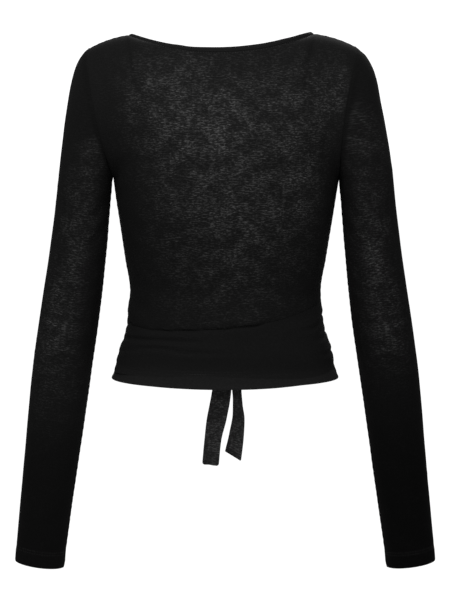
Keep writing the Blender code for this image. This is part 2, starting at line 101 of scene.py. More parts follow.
WRAP_CROSSING, WRAP_CURVE, WRAP_LIFT = -190, 0.15, 3
WRAP_FULL, WRAP_NONE = 12, 24
BAND_WIDTH = 6

SASH_COLUMNS = ("angle", "top", "bottom", "puff")
SASH_SECTIONS = (
    (-174, -339, -361, 2.6),
    (-150, -330, -374, 1.8),
    (-120, -318, -388, 1.2),
    (-95, -319, -394, 1.2),
    (-70, -334, -393, 0.7),
    (-45, -337, -393, 0.2),
    (-10, -334.3, -394, 0),
    (15, -329.5, -395, 0),
    (35, -323.5, -396, 0.3),
    (60, -314, -396.5, 0.8),
    (90, -306, -396, 1.2),
    (120, -312, -388, 1.2),
    (150, -328, -374, 1.8),
    (169, -339, -361, 2.6),
)
SASH_CLEAR, SASH_FRONT_CLEAR, SASH_TURN, SASH_WALL = 0.9, 4.2, (92, 112), 1.5

KNOT_CENTRE = (5, 103.6, -350)
KNOT_HALF = (17, 9, 13.5)
KNOT_TILT, KNOT_TURN_HALF, KNOT_TURN_RISE, KNOT_PINCH = 24, 0.46, 0.17, 0.62
TAIL_IN_KNOT, TAIL_ROUND = 8, 0.9
TAIL_CORNER = {"left": 3, "right": 1}
TAIL_GATHERED, TAIL_PAINTED_LIGHT_SPAN = (20, 90), (40, 110)  # from how far down, and to how far; over the second, the painted light toward a tail's end grows
TAIL_CREASES = ((84, 20, 7, -0.5), (106, 0, 8, 0.4))  # how far down, slant, width and rise
TAIL_COLUMNS = ("height", "x", "y", "width", "turn", "skew")
TAILS = {
    "left": (
        (-366.5, 0, 97.6, 15, 0, 0),
        (-400, -2, 97.4, 20, 3, 0),
        (-434, -5.6, 98, 24.2, 8, 0),
        (-465, -11, 99, 25.4, 12, 0),
        (-495, -16.3, 99.5, 21.5, 10, -1),
        (-525.5, -19.1, 99, 20.8, 5, -3),
    ),
    "right": (
        (-366.5, 9, 104, 15, -8, 0),
        (-400, 12.5, 106, 19, -40, 0),
        (-434, 14.1, 106, 20.5, -59, 0),
        (-465, 15.3, 105, 20.5, -46, 0),
        (-490, 13, 103.5, 20.5, -30, -3),
        (-515, 9, 102.5, 20.8, -17, -10.5),
    ),
}

# --- Creases: soft lines on the cloth, with a rise, or a fall where it is negative ---
# On the body they run between two places, each by its distance round from the middle and its height.
# The columns are from_round, from_height, to_round, to_height, bow, rise and width.
BACK_CREASES = (
    (-66, -2, -27, -27, 3, 0.9, 5),
    (-58, -16, -34, -40, 4, -0.6, 6),
    (84, 3, 30, -24, -3, 0.8, 6.5),
    (64, -22, 34, -40, -3, -0.5, 6),
    (0, -70, -3, -305, 3, -1.6, 24),
    (-74, -60, -60, -150, 6, 0.9, 26),
    (76, -60, 66, -150, -6, 0.9, 26),
    (-172, -168, -118, -118, 6, -1.3, 8),
    (-176, -186, -122, -158, 7, -0.9, 9),
    (170, -166, 124, -104, -6, -1.4, 8),
    (176, -184, 116, -150, -7, -1, 9),
    (-158, -262, -96, -284, 5, -0.8, 9),
    (-156, -300, -84, -312, 3, -0.9, 7),
    (156, -258, 104, -276, -4, -0.7, 9),
    (154, -288, 70, -306, -3, -0.8, 7),
)
FRONT_CREASES = (
    (178, -170, 92, -196, -6, -1.3, 9),
    (182, -150, 118, -96, 6, -1, 9),
    (176, -204, 84, -248, -6, -1.1, 10),
    (168, -250, 60, -290, -5, -1.2, 9),
    (160, -286, 44, -318, -4, -1, 8),
    (-178, -172, -100, -200, 7, -1.2, 9),
    (-180, -148, -122, -92, -6, -1, 9),
    (-174, -212, -76, -256, 6, -1.2, 10),
    (-166, -256, -58, -294, 5, -1, 9),
    (-158, -290, -40, -320, 4, -0.9, 8),
    (70, -110, 30, -250, -8, 0.8, 16),
    (-64, -120, -24, -246, 8, 0.8, 16),
    (120, -393, 30, -368, -3, -0.8, 7),
    (-110, -392, -28, -370, 3, -0.9, 7),
)
# On a sleeve the distance round is from its underarm seam, backwards, and the height is that of the place.
SLEEVE_CREASES = (
    (10, -176, 78, -226, 6, -1.3, 8),
    (14, -204, 70, -262, 6, -0.9, 8),
    (-10, -178, -74, -232, -6, -1.3, 8),
    (-14, -210, -66, -268, -6, -1, 8),
    (46, -300, 30, -420, 5, 0.7, 12),
    (66, -340, 58, -455, -4, -0.6, 10),
    (-22, -352, -62, -372, 5, -0.9, 7),
    (-20, -372, -58, -388, 4, -0.8, 6),
    (-20, -330, -58, -338, -4, -0.7, 7),
    (8, -366, 40, -350, 4, -0.6, 7),
    (20, -566, 62, -578, 3, -0.6, 6),
    (-16, -548, -58, -562, 3, -0.6, 6),
)
# Round the waist each fold is a furrow along the tie: its angle, height and depth.
FOLD_COLUMNS = ("angle", "height", "depth")
SASH_FOLDS = (
    ((-174, -344.5, 2), (-130, -338, 1.6), (-95, -336, 1.3), (-76, -342, 0.9), (-62, -346, 0)),
    (
        (-174, -349, 2.4), (-130, -350, 1.6), (-92, -356, 0.7), (-75, -351, 1.4),
        (-55, -350, 1.4), (-36, -348.8, 1.1), (-20, -349, 0.8), (-8, -348, 0),
    ),
    (
        (-174, -353, 2.2), (-130, -362, 1.7), (-92, -372, 0.6), (-66, -364, 0.6),
        (-38, -358.5, 0.9), (-21, -362, 0.9), (-6, -362, 0.6), (8, -361, 0),
    ),
    ((-174, -357, 2), (-130, -374, 1.6), (-92, -385, 1.5), (-70, -384, 0.9), (-44, -386, 0)),
    (
        (40, -338, 0), (58, -338, 0.7), (75, -331, 1.3), (92, -324, 1.2), (130, -330, 1.7),
        (169, -344, 2.2),
    ),
    ((56, -352, 0), (74, -351, 0.8), (92, -344, 1), (130, -348, 1.7), (169, -348.5, 2.4)),
    ((48, -366, 0), (72, -370, 0.7), (92, -368, 1.3), (130, -362, 1.7), (169, -353, 2.3)),
    ((66, -386, 0), (80, -386, 0.7), (92, -383, 1.3), (130, -375, 1.6), (169, -357.5, 2.1)),
)
# Where the jersey is stretched thin, so that its streaks show: soft patches, by distance round and height.
# The columns are around, height, half_around, half_height and share.
BACK_SHEER = (
    (-10, -92, 72, 62, 0.8),
    (-88, -66, 34, 44, 0.4),
    (94, -80, 38, 52, 0.5),
    (142, -56, 15, 28, 0.6),
    (18, -190, 66, 58, 0.55),
    (92, -168, 30, 56, 0.42),
    (-66, -176, 34, 60, 0.22),
    (6, -268, 74, 60, 0.3),
    (-44, -26, 22, 14, 0.3),
)
FRONT_SHEER = (
    (74, -110, 42, 60, 0.55),
    (-74, -110, 42, 60, 0.5),
    (10, -215, 80, 60, 0.5),
    (0, -285, 90, 50, 0.28),
)
SLEEVE_SHEER = {
    "left": (
        (66, -130, 24, 56, 0.28),
        (58, -225, 26, 62, 0.34),
        (64, -300, 24, 50, 0.26),
        (72, -345, 28, 46, 0.34),
        (60, -405, 30, 46, 0.16),
        (-62, -240, 40, 120, 0.45),
    ),
    "right": (
        (90, -88, 24, 50, 0.46),
        (60, -180, 24, 56, 0.28),
        (52, -258, 24, 46, 0.46),
        (58, -335, 26, 46, 0.4),
        (-62, -240, 40, 120, 0.45),
    ),
}
FOLD_WIDTH = 3
CREASE_FADE = 0.4  # a crease fades out over this share of its length at each end
CREASE_LIP, LIP_OFF = 0.45, 1.9  # and has a low lip on each side, this many of its widths away
SLOW_RIPPLE, QUICK_RIPPLE = 0.28, 0.1
RIPPLE_PHASE = {"back": 0.4, "front": 1.3, "left": 2.1, "right": 4.4}
LOOKS = ("sheer", "pale")
# How light the plain knit is drawn, by height, as its own charcoal with painted light and shade: 0 is the
# deepest black, and 1 the shoulders' charcoal.
PALE_COLUMNS = ("height", "share")
# Painted light and shade on the body: paler at the shoulders and at the hem, darker round the middle.
BODY_PALE_AND_PAINTED_LIGHT = (
    (-405, 2), (-390, 1.5), (-345, 0.6), (-300, 0.58), (-220, 0.52), (-140, 0.62), (-60, 0.78),
    (15, 0.8),
)
# Painted shade on the sleeves: darker and darker toward the cuffs, the right sleeve more than the left.
SLEEVE_PALE_AND_PAINTED_SHADE = {
    "left": (
        (-645, 0.3), (-560, 0.32), (-500, 0.38), (-430, 0.66), (-350, 0.6), (-290, 0.58), (-200, 0.58),
        (-100, 0.75), (0, 0.8),
    ),
    "right": (
        (-645, 0), (-560, 0.03), (-500, 0.07), (-430, 0.28), (-350, 0.4), (-290, 0.42), (-200, 0.5),
        (-100, 0.75), (0, 0.8),
    ),
}
# The tie's lower edge is drawn paler within its reach: painted light.
TIE_PALE, TIE_EDGE_PAINTED_LIGHT, TIE_EDGE_REACH = 0.82, 0.45, 9
TAIL_SHEER = 1.5
TAIL_PALE_AND_PAINTED_LIGHT = (0.7, 3.3)  # at the top and toward the end: painted light, paler toward the end
# The body blouses a little over the top edge of the tie: the angle, and how far it stands out.
BLOUSE_COLUMNS = ("angle", "out")
BLOUSE = (
    (-180, 3.2), (-120, 3), (-95, 2.4), (-80, 3), (-45, 3.4), (-10, 4.2), (15, 4.2), (28, 2.6),
    (42, 0.6), (70, 0.5), (95, 1.2), (120, 2.8), (180, 3.2),
)
BLOUSE_PEAK, BLOUSE_HEIGHT, BLOUSE_TUCK = 5, 15, 2.2
UNDER_TIE = 1  # how far the body is drawn in behind the tie
SASH_ROLL = 1.3  # how far the top edge of the tie rolls in under the blousing
# How far each edge of the tie lies down on the body: 0 where it stands out, and 1 where no edge shows.
LIE_COLUMNS = ("angle", "top", "bottom", "up")  # and how far its lower edge is drawn up
SASH_LIE = (
    (-174, 0, 0, 0), (-130, 0.1, 0.2, 0), (-95, 0.3, 0.9, 0), (-60, 0.3, 0.85, 1.4),
    (-30, 0.15, 0.9, 3.4), (-14, 0.05, 1, 4), (0, 0, 1, 3.6), (20, 0.2, 1, 2),
    (32, 0.7, 1, 1), (45, 1, 1, 0), (80, 1, 1, 0), (95, 0.8, 0.95, 0),
    (130, 0.1, 0.3, 0), (169, 0, 0, 0),
)
LIE_REACH = {"top": 18, "bottom": 32}
LIE_HEIGHT, LIE_THIN, LIE_TUCK = 0.36, 0.72, {"top": 4, "bottom": 9}
SETTLE_FROM, SETTLE_REACH = 8, 20  # below the blousing the tie settles on the plain back
SETTLE_SIDES = (50, 75)  # less and less between these angles
LIE_FLUSH, FLUSH_REACH = 1.6, 7  # where the tie's lower edge shows no step at all
SASH_PINCH, PINCH_HEIGHT = 1.2, -338  # the tie is pulled in at the sides
# The hems hang lower than the solids', the body's by the angle, and the body's flares a little at the sides.
DROOP_COLUMNS = ("angle", "droop")
HEM_DROOP = (
    (-180, 1.2), (-90, 1.5), (-69, 1.6), (-43, 2), (-26, 2.8), (-8, 3.3), (10, 3.2), (22, 2.7),
    (34, 1.7), (44, 0.9), (70, 0.7), (90, 0.8), (180, 1.2),
)
CUFF_DROOP = {"left": 1.9, "right": 1.3}
HEM_FLARE, FLARE_HEIGHT, FLARE_REACH = 2.3, 26, 45

# --- Seams and hems ---
SEAM_DEPTH, SEAM_WIDTH = 0.8, 1.3
SEAM_BULK, SEAM_ALLOWANCE = 0.45, 6  # the allowance pressed behind a seam shows as a low ridge
PUCKER, PUCKER_LENGTH = 0.22, 9
HEM_DEPTH, HEM_BULK = 18, 0.35
STITCH_LENGTH, STITCH_PITCH, STITCH_WIDTH = 2.3, 3.1, 0.5
STITCH_RISE, STITCH_SUNK, STITCH_ROOT = 0.3, 0.15, 0.25  # its middle above the cloth, its ends and root below
TWIN = 3  # between the two rows of a hem
SEAM_CALM = 7  # creases fade out this close to a seam
UNDERARM_CALM = 16  # and the seams' grooves where they meet under the arm
CORNER_CALM, CORNER_REACH = 0.7, 12  # and at the shoulder's corner
SEAM_DARK = 2.6  # and streaks this close to one, because the cloth is doubled
BAND_FURROW = 0.35
# The share of the back band's width that goes upward, by the distance from the middle.
BACK_BAND_RISE = {
    "left": ((0, 20, 40, 60, 87, 106, 116.5), (0.84, 0.8, 0.71, 0.64, 0.56, 0.48, 0.38)),
    "right": ((0, 50, 75, 88, 98, 105), (0.84, 0.84, 0.86, 0.86, 0.72, 0.48)),
}
BAND_TIP_REACH = 22
BAND_SHARES = (0, 0.06, 0.13, 0.24, 0.36, 0.5, 0.64, 0.78, 0.88, 0.95, 1)  # of its width, for its rows
BAND_PLUMP, BAND_GROOVE, BAND_STITCHED = 0.75, 0.55, 0.24  # its stitches lie at this share of the width
ELBOW_SWELL, ELBOW_HEIGHT, ELBOW_REACH = 0.95, -338, 62  # the sleeve is a little fuller there
CAP_SWELL, CAP_HEIGHT, CAP_REACH = {"left": 0.4, "right": 2}, -26, 27  # and at its head
CAP_START = 11
ARMHOLE_ALLOWANCE = ((4.2, 1.1), (3, 1.2), (1.2, 1.3), (0.3, 0.9))  # how far back from the edge, and in
SEAM_SHADE = 8  # a sleeve shows no streaks this close to the armhole seam
NECK_ROW = 2.2  # the row of stitches that holds the allowance of a neck band

# --- How finely the cloth is divided ---
GRID = 3
PANEL_LENGTH, FRONT_WIDTH, SASH_HEIGHT = 430, 205, 78  # about, for the number of lines on them
SLEEVE_LINES, TAIL_LINES = 108, 21
FINE_LEVELS, HALVINGS = 801, 40  # for lengths of columns, and for angle_across
FAR = 1e3
NEAR_EDGE = (0.7, 1.5, 2.4, 3.6, 5, 7)  # extra lines this far from a seam or hem

SIDE = {"left": -1, "right": 1}


# --- Numbers ---
def ease(value):
    t = np.clip(value, 0, 1)
    return t * t * (3 - 2 * t)


def ramp(value, start, end):
    return ease((value - start) / (end - start))


def curve(knots, values, at):
    """A smooth curve through values at rising knots, which never swings past its neighbours."""
    knots, values, at = (np.asarray(a, float) for a in (knots, values, at))
    steps = np.diff(knots)
    slopes = np.diff(values) / steps
    before, after = slopes[:-1], slopes[1:]
    same_way = before * after > 0
    middle = np.where(same_way, 2 * before * after / np.where(same_way, before + after, 1), 0)
    tangents = np.concatenate(([slopes[0]], middle, [slopes[-1]]))
    i = np.clip(np.searchsorted(knots, at, side="right") - 1, 0, len(steps) - 1)
    t = np.clip((at - knots[i]) / steps[i], 0, 1)
    start, end = tangents[i] * steps[i], tangents[i + 1] * steps[i]
    rise = values[i + 1] - values[i]
    return values[i] + t * (start + t * ((3 * rise - 2 * start - end) + t * (start + end - 2 * rise)))


def read_table(table, columns, name, at):
    """One column of a table, read smoothly at values of its first column."""
    rows = sorted(table)
    return curve([row[0] for row in rows], [row[columns.index(name)] for row in rows], at)


def sine(degrees):
    return np.sin(np.radians(degrees))


def cosine(degrees):
    return np.cos(np.radians(degrees))


def bell(distance, width):
    return np.exp(-((distance / width) ** 2))


def length_of(vectors):
    return np.sqrt((vectors**2).sum(axis=-1, keepdims=True))


def unit(vectors):
    return vectors / np.maximum(length_of(vectors), 1e-9)


def by_side(angle, left, right):
    return np.where(angle < 0, left, right)


# --- Body ---
def torso(name, height):
    return read_table(TORSO_SECTIONS, TORSO_COLUMNS, name, height)


def tie(name, angle):
    return read_table(SASH_SECTIONS, SASH_COLUMNS, name, angle)


def tie_lie(name, angle):
    return read_table(SASH_LIE, LIE_COLUMNS, name, angle)


def ring_point(angle, height):
    """Points of the torso below the arms. The angle runs from the middle of the back, 0, to the front."""
    angle, height = np.broadcast_arrays(np.asarray(angle, float), np.asarray(height, float))
    half = by_side(angle, torso("left", height), torso("right", height))
    behind = cosine(angle)
    depth = np.where(behind > 0, torso("back", height), torso("front", height))
    return np.stack([half * sine(angle), -depth * behind, height], axis=-1)


def armhole_x(side, climb):
    low, high = torso(side, UNDERARM), SHOULDER_POINT[side][0]
    bow = CURVE_OF_ARMHOLE[side] * np.sin(np.pi * climb) ** 2
    return low + (high - low) * np.sin(np.pi * climb / 2) ** 2 - bow


def share_across(angle, climb):
    """Share of a panel's half-width at an angle: round below the arms, and more even above them."""
    even = sine(angle * EVEN_TURN) / sine(90 * EVEN_TURN)
    return sine(angle) + (even - sine(angle)) * ease(climb / EVEN_FROM)


def angle_across(share, climb):
    low, high = np.full(np.shape(share), -90), np.full(np.shape(share), 90)
    for _ in range(HALVINGS):
        middle = (low + high) / 2
        under = share_across(middle, climb) < share
        low, high = np.where(under, middle, low), np.where(under, high, middle)
    return (low + high) / 2


def neck_angle(side):
    return float(angle_across(NECK_TIP[side][0] / SHOULDER_POINT[side][0], 1))


def top_height(side, x, front):
    """Height of a panel's top edge: the shoulder seam, and between the neck tips the neck edge."""
    (tip_x, tip_z), (point_x, point_z) = NECK_TIP[side], SHOULDER_POINT[side]
    t = np.clip((x - tip_x) / (point_x - tip_x), 0, 1)
    shoulder = tip_z + (point_z - tip_z) * t + 4 * SHOULDER_CROWN * t * (1 - t)
    if front:
        return np.where(x >= tip_x, shoulder, tip_z)
    low_x, low_z = BACK_NECK_LOW
    past_low = SIDE[side] * x - low_x
    left_x, right_x = -NECK_TIP["left"][0], NECK_TIP["right"][0]
    reach = np.where(past_low > 0, right_x - low_x, left_x - low_x)
    end_z = np.where(past_low > 0, NECK_TIP["right"][1], NECK_TIP["left"][1])
    return np.where(x >= tip_x, shoulder, low_z + (end_z - low_z) * (past_low / reach) ** 2)


def upper_half(side, angle, climb, front):
    across = np.abs(share_across(angle, climb))
    lift = np.sin(np.pi * climb / 2)
    top_x = across * SHOULDER_POINT[side][0]
    z = UNDERARM + (top_height(side, top_x, front) - UNDERARM) * lift ** (1 + across**6)
    tip_share = np.minimum(top_x / NECK_TIP[side][0], 1)
    neck_depth = (FRONT_NECK_DEPTH if front else BACK_NECK_DEPTH) * (1 - tip_share**2) ** NECK_ROUND
    chest = torso("front" if front else "back", UNDERARM)
    edge = 2 * ARMHOLE_DEPTH * lift
    depth = np.sqrt(edge**2 + (chest**2 - edge**2) * (1 - across**2))
    round_over = np.sqrt(np.maximum(1 - lift**2, 0))
    slope_over = 1 - lift**NECK_FALL
    keep = slope_over + (round_over - slope_over) * ease(2 * tip_share - 1)
    y = neck_depth + (depth - neck_depth) * keep
    return np.stack([SIDE[side] * across * armhole_x(side, climb), y if front else -y, z], axis=-1)


def edge_normals(angle, level, front):
    """Outward normals along a panel's edge, as the solids have them, with no part along Y at a neck tip."""
    across = panel_point(np.minimum(angle + 0.5, 90), level, front)
    across = across - panel_point(np.maximum(angle - 0.5, -90), level, front)
    lowest = np.where(level > 1, 1, 0)
    upward = panel_point(angle, np.minimum(level + 0.01, lowest + 1), front)
    upward = upward - panel_point(angle, np.maximum(level - 0.01, lowest), front)
    normals = unit(np.cross(across, upward)) * (-1 if front else 1)
    tip = by_side(angle, neck_angle("left"), neck_angle("right"))
    normals[(level > 1.999) & (np.abs(angle) > tip - 0.001), 1] = 0
    return unit(normals)


def panel_point(angle, level, front):
    """Points of the back or front. Level is 0 at the hem, 1 at the underarm and 2 at the top."""
    angle, level = np.broadcast_arrays(np.asarray(angle, float), np.asarray(level, float))
    height = HEM + (UNDERARM - HEM) * np.clip(level, 0, 1)
    around = by_side(angle, -180, 180) - angle if front else angle
    lower = ring_point(around, height)
    climb = np.clip(level - 1, 0, 1)
    left, right = (upper_half(side, angle, climb, front) for side in ("left", "right"))
    upper = np.where((angle < 0)[..., None], left, right)
    return np.where((level <= 1)[..., None], lower, upper)


# --- Sleeves ---
def sleeve_point(side, turn, section):
    """Points of a sleeve. Turn is 0 under the arm, 90 behind it, 180 outside it and 270 before it."""
    turn, section = np.broadcast_arrays(np.asarray(turn, float), np.asarray(section, float))
    read = {name: curve(range(LAST_SECTION + 1), values, section)
            for name, values in zip(SLEEVE_COLUMNS, zip(*SLEEVE_SECTIONS))}
    inner_x, inner_z, outer_x, outer_z = (read[name] for name in SLEEVE_COLUMNS[:4])
    if side == "right":
        knots = list(range(len(RIGHT_SHOULDER_IN) + 1))
        narrower = curve(knots, RIGHT_SHOULDER_IN + (0,), np.minimum(section, knots[-1]))
        lean = RIGHT_SLEEVE_IN * np.maximum(section - LEAN_FROM, 0) / (LAST_SECTION - LEAN_FROM)
        first = np.maximum(1 - section, 0)
        outer_x = outer_x - narrower - lean
        outer_z = outer_z + RIGHT_TOP_UP * first
        inner_x = inner_x + RIGHT_UNDERARM_OUT * first - lean
    out = (1 - cosine(turn)) / 2
    bow = CURVE_OF_ARMHOLE[side] * np.maximum(1 - section / BOW_ENDS, 0)
    x = inner_x + (outer_x - inner_x) * out - bow * sine(turn) ** 2
    y = read["forward"] - read["depth"] * sine(turn)
    return np.stack([SIDE[side] * x, y, inner_z + (outer_z - inner_z) * out], axis=-1)


# --- Grids of points ---
def lines_between(start, end, size, fine_start=False, fine_end=False):
    """Values from start to end, a grid step apart on a stretch of this size, closer at fine ends."""
    shares = list(np.linspace(0, 1, max(int(round(size / GRID)), 2) + 1))
    near = [d / size for d in NEAR_EDGE if d < size / 2]
    clear = NEAR_EDGE[-1] / size + 0.5 * GRID / size
    if fine_start:
        shares = [0] + near + [s for s in shares if s > clear]
    if fine_end:
        shares = [s for s in shares if s < 1 - clear] + [1 - s for s in reversed(near)] + [1]
    return [start + (end - start) * s for s in shares]


def along_rows(points):
    """Distance along each row of a grid, from its first point."""
    steps = length_of(np.diff(points, axis=1))[..., 0]
    return np.concatenate([np.zeros((len(points), 1)), np.cumsum(steps, axis=1)], axis=1)


def along_columns(points):
    return along_rows(np.swapaxes(points, 0, 1)).T


def grid_normals(points, closed, away):
    """Unit normals of a grid of points, on the side that away points to."""
    if closed:
        around = np.roll(points, -1, axis=1) - np.roll(points, 1, axis=1)
    else:
        around = np.gradient(points, axis=1)
    normals = unit(np.cross(around, np.gradient(points, axis=0)))
    return normals if (normals * away).sum() > 0 else -normals


def look_up(table, row, column):
    """Values between the rows and columns of an even table."""
    r = np.clip(np.floor(row).astype(int), 0, table.shape[0] - 2)
    c = np.clip(np.floor(column).astype(int), 0, table.shape[1] - 2)
    down, across = row - r, column - c
    above = table[r, c] * (1 - across) + table[r, c + 1] * across
    below = table[r + 1, c] * (1 - across) + table[r + 1, c + 1] * across
    return above * (1 - down) + below * down


def patches(table, around, height):
    """The sum of soft patches at places on the cloth."""
    total = 0
    for at_around, at_height, half_around, half_height, share in table:
        total = total + share * bell(around - at_around, half_around) * bell(height - at_height, half_height)
    return total


def creases(table, around, height):
    """The rise of all the creases of a table at places on the cloth."""
    total = np.zeros(np.broadcast(around, height).shape)
    for from_round, from_height, to_round, to_height, bow, rise, width in table:
        way_round, way_up = to_round - from_round, to_height - from_height
        size = math.hypot(way_round, way_up)
        past, above = around - from_round, height - from_height
        share = (past * way_round + above * way_up) / size**2
        inside = np.clip(share, 0, 1)
        off = (past * way_up - above * way_round) / size - bow * 4 * inside * (1 - inside)
        fade = ease(np.minimum(inside, 1 - inside) / CREASE_FADE + 0.02)
        furrow = bell(off, width) - CREASE_LIP * bell(np.abs(off) - LIP_OFF * width, width)
        total = total + rise * fade * furrow * bell((share - inside) * size, width)
    return total


def ripple(around, height, phase):
    """The slight unevenness of worn jersey."""
    slow = np.sin(around / 23 + phase) * np.sin(height / 31 + 2 * phase)
    quick = np.sin(around / 9 + 0.7 * height / 14 + 3 * phase) * np.sin(height / 17 - phase)
    return SLOW_RIPPLE * slow + QUICK_RIPPLE * quick


def seam_ridge(distance):
    return SEAM_BULK * ease(distance / 2) * ease((SEAM_ALLOWANCE + 1 - distance) / 1.5)


def seam_relief(distance, along, bulky):
    """A seam's groove, with its puckers, and a low ridge on the side that its allowance is pressed to."""
    groove = -SEAM_DEPTH * bell(distance, SEAM_WIDTH)
    pucker = PUCKER * np.sin(2 * np.pi * along / PUCKER_LENGTH + 1.7 * np.sin(along / 21))
    pucker = pucker * bell(distance - 2, 3)
    return groove + pucker + (seam_ridge(distance) if bulky else 0)


def hem_relief(distance):
    """A turned-up hem: double cloth, with a furrow under its two rows of stitches."""
    bulk = HEM_BULK * ease((HEM_DEPTH + 1.5 - distance) / 2)
    furrows = sum(bell(distance - HEM_DEPTH + TWIN * row, 0.9) for row in (0, 1))
    return bulk - 0.4 * furrows - 0.4 * bell(distance, 0.8)


# --- Shells ---
def shell(name, outer, normals, wall, closed, looks, grain, material):
    """A thin closed shell under a grid of outer points, with its grain as a UV map and its two looks."""
    rows, columns = outer.shape[:2]
    inner = outer - normals * np.broadcast_to(wall, (rows, columns))[..., None]
    points = np.concatenate([outer.reshape(-1, 3), inner.reshape(-1, 3)])
    span = columns if closed else columns - 1
    r, c = (a.ravel() for a in np.meshgrid(np.arange(rows - 1), np.arange(span), indexing="ij"))
    corners, places = [], []

    def add_faces(skins, at_rows, at_columns):
        skins, at_rows, at_columns = np.broadcast_arrays(skins, np.stack(at_rows, 1), np.stack(at_columns, 1))
        corners.append((skins * rows + at_rows) * columns + at_columns % columns)
        places.append(at_rows * (columns + 1) + at_columns)

    add_faces([0, 0, 0, 0], [r, r, r + 1, r + 1], [c, c + 1, c + 1, c])
    add_faces([1, 1, 1, 1], [r, r + 1, r + 1, r], [c, c, c + 1, c + 1])
    e = np.arange(span)
    for row, skins in ((0, [1, 1, 0, 0]), (rows - 1, [0, 0, 1, 1])):
        add_faces(skins, [np.full_like(e, row)] * 4, [e, e + 1, e + 1, e])
    if not closed:
        e = np.arange(rows - 1)
        for column, skins in ((0, [0, 0, 1, 1]), (columns - 1, [1, 1, 0, 0])):
            add_faces(skins, [e, e + 1, e + 1, e], [np.full_like(e, column)] * 4)
    corners, places = np.concatenate(corners), np.concatenate(places)
    facing = np.cross(outer[:-1, 1:] - outer[:-1, :-1], outer[1:, :-1] - outer[:-1, :-1])
    if (facing * normals[:-1, :-1]).sum() < 0:
        corners, places = corners[:, ::-1], places[:, ::-1]
    looks = [np.tile(np.broadcast_to(look, (rows, columns)).ravel(), 2) for look in looks]
    return cloth(name, points, corners.tolist(), grain.reshape(-1, 2)[places.ravel()], looks, material)


def cloth(name, points, faces, grain, looks, material):
    """A piece of cloth from points, faces, the grain's place at each face's corners, and its looks."""
    mesh = bpy.data.meshes.new(name)
    mesh.from_pydata((points * MM).tolist(), [], faces)
    mesh.uv_layers.new(name="grain").data.foreach_set("uv", (grain * MM).astype(np.float32).ravel())
    for kind, values in zip(LOOKS, looks):
        values = np.broadcast_to(values, len(points)).astype(np.float32)
        mesh.attributes.new(kind, "FLOAT", "POINT").data.foreach_set("value", values)
    return finished(name, mesh, material)


def finished(name, mesh, material):
    mesh.validate()
    mesh.shade_smooth()
    mesh.set_sharp_from_angle(angle=math.radians(55))
    mesh.materials.append(material)
    thing = bpy.data.objects.new(name, mesh)
    bpy.context.scene.collection.objects.link(thing)
    return thing


def with_last(values, extra):
    return np.concatenate([values, extra[:, None]], axis=1)


def grain_of(around, along):
    """Places in the cloth for the grain, with one more column than the points for a closed tube."""
    last = 2 * around[:, -1] - around[:, -2]
    return np.stack([with_last(around, last), with_last(along, along[:, -1])], axis=-1)


# --- Panels ---
def panel_levels(angle_at, front):
    """Levels of a panel's rows, even along each of its columns, and closer at the hem and the top."""
    fine = np.linspace(0, 2, FINE_LEVELS)[:, None]
    lengths = along_columns(panel_point(angle_at(fine), fine, front))
    shares = np.array(lines_between(0, 1, PANEL_LENGTH, fine_start=True, fine_end=True))
    columns = [np.interp(shares * column[-1], column, fine[:, 0]) for column in lengths.T]
    return np.stack(columns, axis=1)


def blousing(angle, height, under_tie=True):
    """How far the body stands out just above the top edge of the tie, and is drawn in behind it."""
    over = height - tie("top", angle)
    above = np.where(over > BLOUSE_PEAK, bell(over - BLOUSE_PEAK, BLOUSE_HEIGHT), 1)
    out = read_table(BLOUSE, BLOUSE_COLUMNS, "out", angle) * above * (0.86 + 0.14 * np.sin(angle / 7))
    if not under_tie:
        return out
    below = ease((over + BLOUSE_TUCK * 0.3 + LIE_TUCK["top"] * tie_lie("top", angle)) / BLOUSE_TUCK)
    edge = tie("bottom", angle) + tie_lie("up", angle) + LIE_TUCK["bottom"] * tie_lie("bottom", angle)
    return out * below - UNDER_TIE * (1 - below) * ease((height - edge) / 3)


def round_from_middle(angle, level, front):
    """Distance round a panel from its middle, and from its middle to its side."""
    levels, angles = np.linspace(0, 2, 81), np.linspace(-90, 90, 181)
    table = along_rows(panel_point(angles[None, :], levels[:, None], front))
    table = table - table[:, 90:91]
    here = look_up(table, level * 40, angle + 90)
    side = look_up(table, level * 40, np.where(angle < 0, 0, 180))
    return here, np.abs(side)


def hem_droop(angle, from_hem):
    return read_table(HEM_DROOP, DROOP_COLUMNS, "droop", angle) * ease(1 - from_hem / HEM_DEPTH)


def body_relief_at_tie(angle, height):
    """The relief of the back that the tie lies down on."""
    level = np.clip((height - HEM) / (UNDERARM - HEM), 0, 1)
    around, to_middle = round_from_middle(np.clip(angle, -90, 90), level, False)
    rise = creases(BACK_CREASES, around, height) + ripple(around, height, RIPPLE_PHASE["back"])
    rise = rise * ease((to_middle - np.abs(around)) / SEAM_CALM) * ease((height - HEM) / HEM_DEPTH)
    low = ease((tie("top", angle) - height - SETTLE_FROM) / SETTLE_REACH)
    low = low * (1 - ramp(np.abs(angle), *SETTLE_SIDES))
    return rise + blousing(angle, height, under_tie=False) * (1 - low) + hem_relief(height - HEM)


